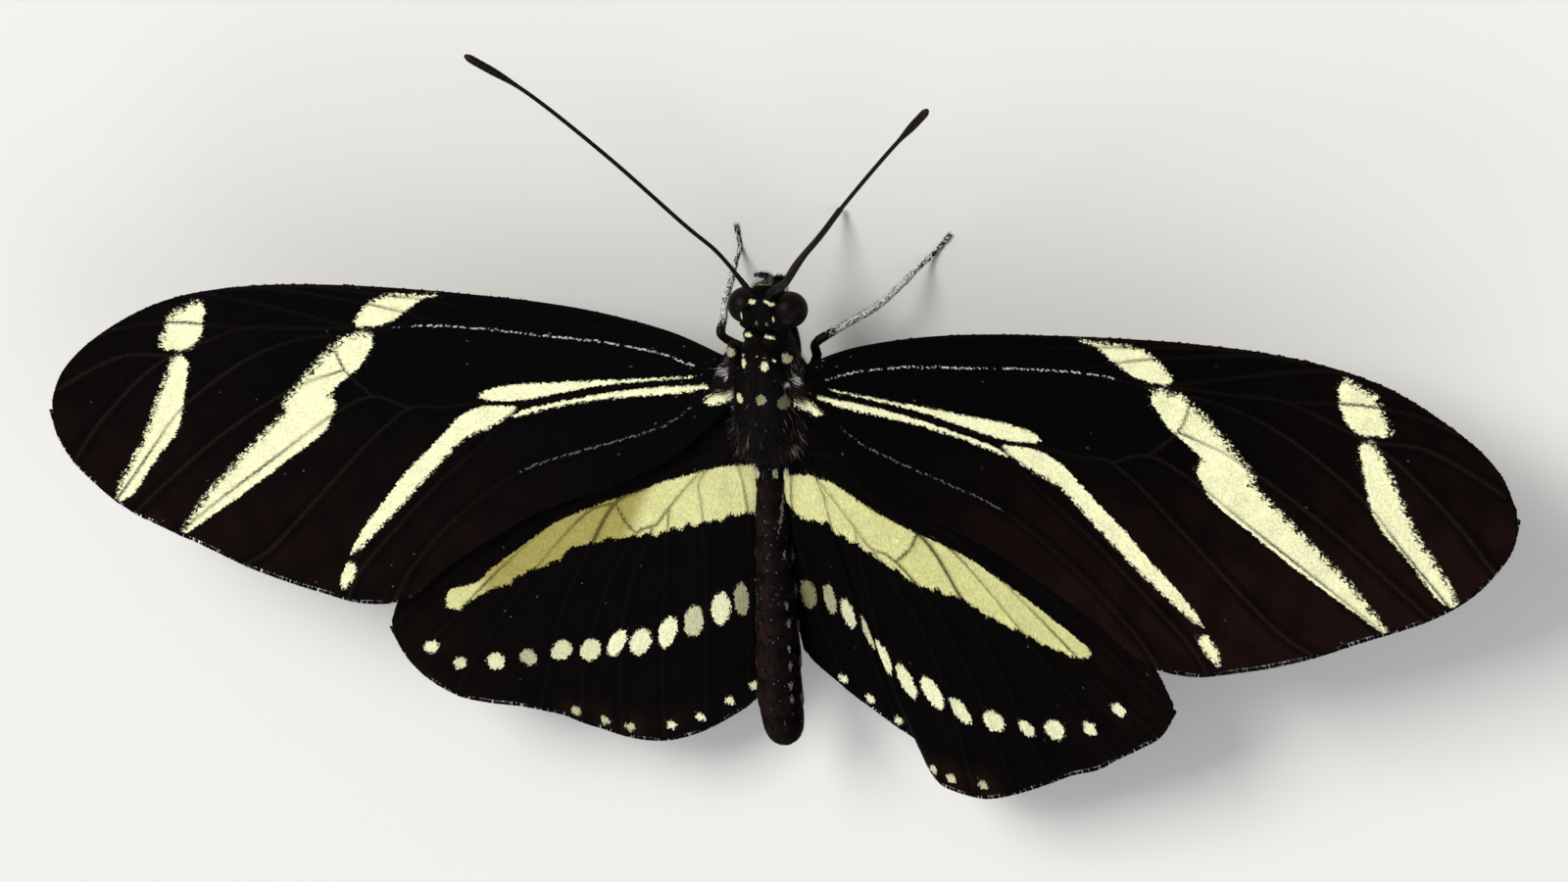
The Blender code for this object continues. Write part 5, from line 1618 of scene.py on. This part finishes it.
def make_claws(settings, material):
    """A pair of small hooked claws and a pad at the end of each walking leg."""
    bm = bmesh.new()
    for name in LEG_ROUTES:
        path = leg_path(name)
        forward = path[-1] - path[-3]
        forward[2] = 0.0
        forward = forward / np.linalg.norm(forward)
        over = np.array((-forward[1], forward[0], 0.0))
        for side in (1, -1):
            start = path[-1] + over * side * 0.04 - forward * 0.06
            route = (start, start + forward * 0.17 + over * side * 0.07 + (0.0, 0.0, 0.04),
                     start + forward * 0.3 + over * side * 0.06 - (0.0, 0.0, 0.09))
            claw = smooth_path(route, 5)
            add_loft(bm, tube_rings(claw, np.linspace(0.04, 0.008, len(claw)), 8))
        add_ball(bm, path[-1] + forward * 0.04 - np.array((0.0, 0.0, 0.055)), (0.09, 0.09, 0.07))
    bmesh.ops.recalc_face_normals(bm, faces=bm.faces)
    mesh = bpy.data.meshes.new("claws")
    bm.to_mesh(mesh)
    bm.free()
    mesh.transform(Matrix.Translation(Vector(THORAX * MM)) @ Matrix.Scale(MM, 4))
    mesh.shade_smooth()
    paint(mesh, np.tile(np.array(settings.horn), (len(mesh.vertices), 1)))
    mesh.materials.append(material)
    piece = bpy.data.objects.new("claws", mesh)
    bpy.context.scene.collection.objects.link(piece)
    hand_over(piece, "leg_scales")


def view_axes():
    """The way from the thorax to the camera, and the picture's right and up."""
    right_tilt = math.radians(VIEW_RIGHT)
    head_tilt = math.radians(VIEW_HEAD)
    back = Vector((-math.sin(right_tilt) * math.cos(head_tilt), -math.sin(head_tilt),
                   math.cos(right_tilt) * math.cos(head_tilt)))
    right = (-back).cross(Vector((0.0, -1.0, 0.0))).normalized()
    up = right.cross(-back)
    roll = math.radians(VIEW_ROLL)
    turned_right = right * math.cos(roll) + up * math.sin(roll)
    turned_up = up * math.cos(roll) - right * math.sin(roll)
    return back, turned_right, turned_up


def make_camera():
    """The camera at the photo's angle and framing."""
    back, right, up = view_axes()
    data = bpy.data.cameras.new("photo_camera")
    data.sensor_width = SENSOR
    data.lens = SENSOR * VIEW_DISTANCE / (PHOTO_WIDTH * PIXEL_SIZE)
    data.clip_start = 0.01
    data.clip_end = 20.0
    camera = bpy.data.objects.new("photo_camera", data)
    slide_right = (PHOTO_WIDTH / 2.0 - THORAX_PIXEL[0]) * PIXEL_SIZE
    slide_up = (THORAX_PIXEL[1] - PHOTO_HEIGHT / 2.0) * PIXEL_SIZE
    place = Vector(THORAX) + back * VIEW_DISTANCE + right * slide_right + up * slide_up
    turn = Matrix((right, up, back)).transposed().to_4x4()
    camera.matrix_world = Matrix.Translation(place * MM) @ turn
    bpy.context.scene.collection.objects.link(camera)
    bpy.context.scene.camera = camera


def make_floor(settings):
    """A plain pale floor with the faintest mottle."""
    bm = bmesh.new()
    bmesh.ops.create_grid(bm, x_segments=1, y_segments=1, size=settings.floor_size / 2.0)
    mesh = bpy.data.meshes.new("floor")
    bm.to_mesh(mesh)
    bm.free()
    material = bpy.data.materials.new("pale_floor")
    material.use_nodes = True
    nodes = material.node_tree.nodes
    links = material.node_tree.links
    shader = nodes["Principled BSDF"]
    noise = nodes.new("ShaderNodeTexNoise")
    noise.inputs["Scale"].default_value = 30.0
    ramp = nodes.new("ShaderNodeMix")
    ramp.data_type = "RGBA"
    ramp.inputs["A"].default_value = (*[0.97 * c for c in settings.floor], 1.0)
    ramp.inputs["B"].default_value = (*settings.floor, 1.0)
    links.new(noise.outputs["Fac"], ramp.inputs["Factor"])
    links.new(ramp.outputs["Result"], shader.inputs["Base Color"])
    shader.inputs["Roughness"].default_value = 0.85
    mesh.materials.append(material)
    floor = bpy.data.objects.new("floor", mesh)
    bpy.context.scene.collection.objects.link(floor)


def make_lamp(name, place, size, power, colour):
    """A square soft lamp that points at the butterfly."""
    data = bpy.data.lights.new(name, "AREA")
    data.size = size
    data.energy = power
    data.color = colour
    lamp = bpy.data.objects.new(name, data)
    lamp.location = place
    lamp.rotation_euler = (-Vector(place)).to_track_quat("-Z", "Y").to_euler()
    bpy.context.scene.collection.objects.link(lamp)


class LONGWING_OT_body_skin(bpy.types.Operator):
    """Make the one skin of head, trunk, palps and legs"""
    bl_idname = "longwing.body_skin"
    bl_label = "Body skin"

    def execute(self, context):
        settings = context.scene.longwing_body
        make_body_skin(settings, tinted_material("body_skin", 0.55, 0.06, 0.00012, 0.2, 0.5))
        return {"FINISHED"}


class LONGWING_OT_body_coat(bpy.types.Operator):
    """Set scales and hair on the body"""
    bl_idname = "longwing.body_coat"
    bl_label = "Body coat"

    def execute(self, context):
        settings = context.scene.longwing_body
        scales = tinted_material("body_scales", 0.55, 0.04, 0.0002, 0.15, 0.1)
        hair = tinted_material("body_hair", 0.55, 0.05, 0.0003, 0.15, 0.0)
        make_body_scales(settings, scales)
        make_body_hair(settings, hair)
        make_base_tufts(settings, hair)
        return {"FINISHED"}


class LONGWING_OT_legs(bpy.types.Operator):
    """Set scales, spines and claws on the legs"""
    bl_idname = "longwing.legs"
    bl_label = "Leg scales and claws"

    def execute(self, context):
        settings = context.scene.longwing_body
        make_leg_scales(settings, tinted_material("leg_scales", 0.5, 0.1, 0.0002, 0.15, 0.1))
        make_claws(settings, tinted_material("claw_horn", 0.35, 0.3, 0.0001, 0.15, 0.1))
        return {"FINISHED"}


class LONGWING_OT_eyes(bpy.types.Operator):
    """Make the compound eyes"""
    bl_idname = "longwing.eyes"
    bl_label = "Eyes"

    def execute(self, context):
        make_eyes(context.scene.longwing_body)
        return {"FINISHED"}


class LONGWING_OT_feelers(bpy.types.Operator):
    """Make the feelers and the proboscis"""
    bl_idname = "longwing.feelers"
    bl_label = "Feelers and proboscis"

    def execute(self, context):
        settings = context.scene.longwing_body
        material = tinted_material("feeler_horn", 0.5, 0.08, 0.0001, 0.2, 0.15)
        make_feelers(settings, material)
        make_proboscis(settings, material)
        return {"FINISHED"}


class LONGWING_OT_membranes(bpy.types.Operator):
    """Make the four veined wing membranes"""
    bl_idname = "longwing.membranes"
    bl_label = "Wing membranes"

    def execute(self, context):
        settings = context.scene.longwing_wings
        material = tinted_material("wing_membrane", 0.6, 0.02, 0.0002, 0.12, 0.2)
        for name in POSTURES:
            make_membrane(name, settings, material)
        return {"FINISHED"}


class LONGWING_OT_wing_scales(bpy.types.Operator):
    """Lay the scales on both sides of the wings, and the fringe round them"""
    bl_idname = "longwing.wing_scales"
    bl_label = "Wing scales"

    def execute(self, context):
        settings = context.scene.longwing_wings
        material = tinted_material("wing_scales", 0.6, 0.02, 0.0004, 0.08, 0.05)
        for seed, name in enumerate(POSTURES):
            make_wing_scales(name, settings, material, True, 500 + seed)
            make_wing_scales(name, settings, material, False, 600 + seed)
            make_fringe(name, settings, material, 700 + seed)
        return {"FINISHED"}


class LONGWING_OT_stage(bpy.types.Operator):
    """Set the floor, the camera and the studio light"""
    bl_idname = "longwing.stage"
    bl_label = "Stage"

    def execute(self, context):
        settings = context.scene.longwing_stage
        make_floor(settings)
        make_camera()
        power = settings.key_power
        make_lamp("key_light", (0.25, -0.45, 0.75), 0.45, power * 5.0, (1.0, 0.98, 0.94))
        make_lamp("fill_light", (-0.7, 0.3, 0.6), 0.9, power * 2.0, (0.93, 0.96, 1.0))
        make_lamp("rim_light", (0.1, 0.8, 0.4), 0.5, power * 1.6, (1.0, 1.0, 1.0))
        world = bpy.data.worlds.new("soft_room")
        world.use_nodes = True
        background = world.node_tree.nodes["Background"]
        background.inputs["Color"].default_value = (0.9, 0.93, 1.0, 1.0)
        background.inputs["Strength"].default_value = 0.55
        context.scene.world = world
        context.scene.view_settings.view_transform = "Standard"
        return {"FINISHED"}


class LONGWING_PT_panel(bpy.types.Panel):
    """The list of steps"""
    bl_idname = "LONGWING_PT_panel"
    bl_label = "Zebra longwing"
    bl_space_type = "VIEW_3D"
    bl_region_type = "UI"
    bl_category = "Longwing"

    def draw(self, context):
        for group in (context.scene.longwing_wings, context.scene.longwing_body,
                      context.scene.longwing_stage):
            for key in group.__annotations__:
                self.layout.prop(group, key)
        for step in STEPS:
            self.layout.operator(step.bl_idname)


STEPS = (LONGWING_OT_stage, LONGWING_OT_body_skin, LONGWING_OT_body_coat, LONGWING_OT_legs,
         LONGWING_OT_eyes, LONGWING_OT_feelers, LONGWING_OT_membranes, LONGWING_OT_wing_scales)
GROUPS = {"longwing_wings": LongwingWings, "longwing_body": LongwingBody,
          "longwing_stage": LongwingStage}


def register():
    for group in GROUPS.values():
        bpy.utils.register_class(group)
    for step in STEPS:
        bpy.utils.register_class(step)
    bpy.utils.register_class(LONGWING_PT_panel)
    for name, group in GROUPS.items():
        setattr(bpy.types.Scene, name, bpy.props.PointerProperty(type=group))


def unregister():
    for name in GROUPS:
        delattr(bpy.types.Scene, name)
    bpy.utils.unregister_class(LONGWING_PT_panel)
    for step in reversed(STEPS):
        bpy.utils.unregister_class(step)
    for group in GROUPS.values():
        bpy.utils.unregister_class(group)


def main():
    """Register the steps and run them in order."""
    register()
    for step in STEPS:
        family, action = step.bl_idname.split(".")
        getattr(getattr(bpy.ops, family), action)()


if __name__ == "__main__":
    main()
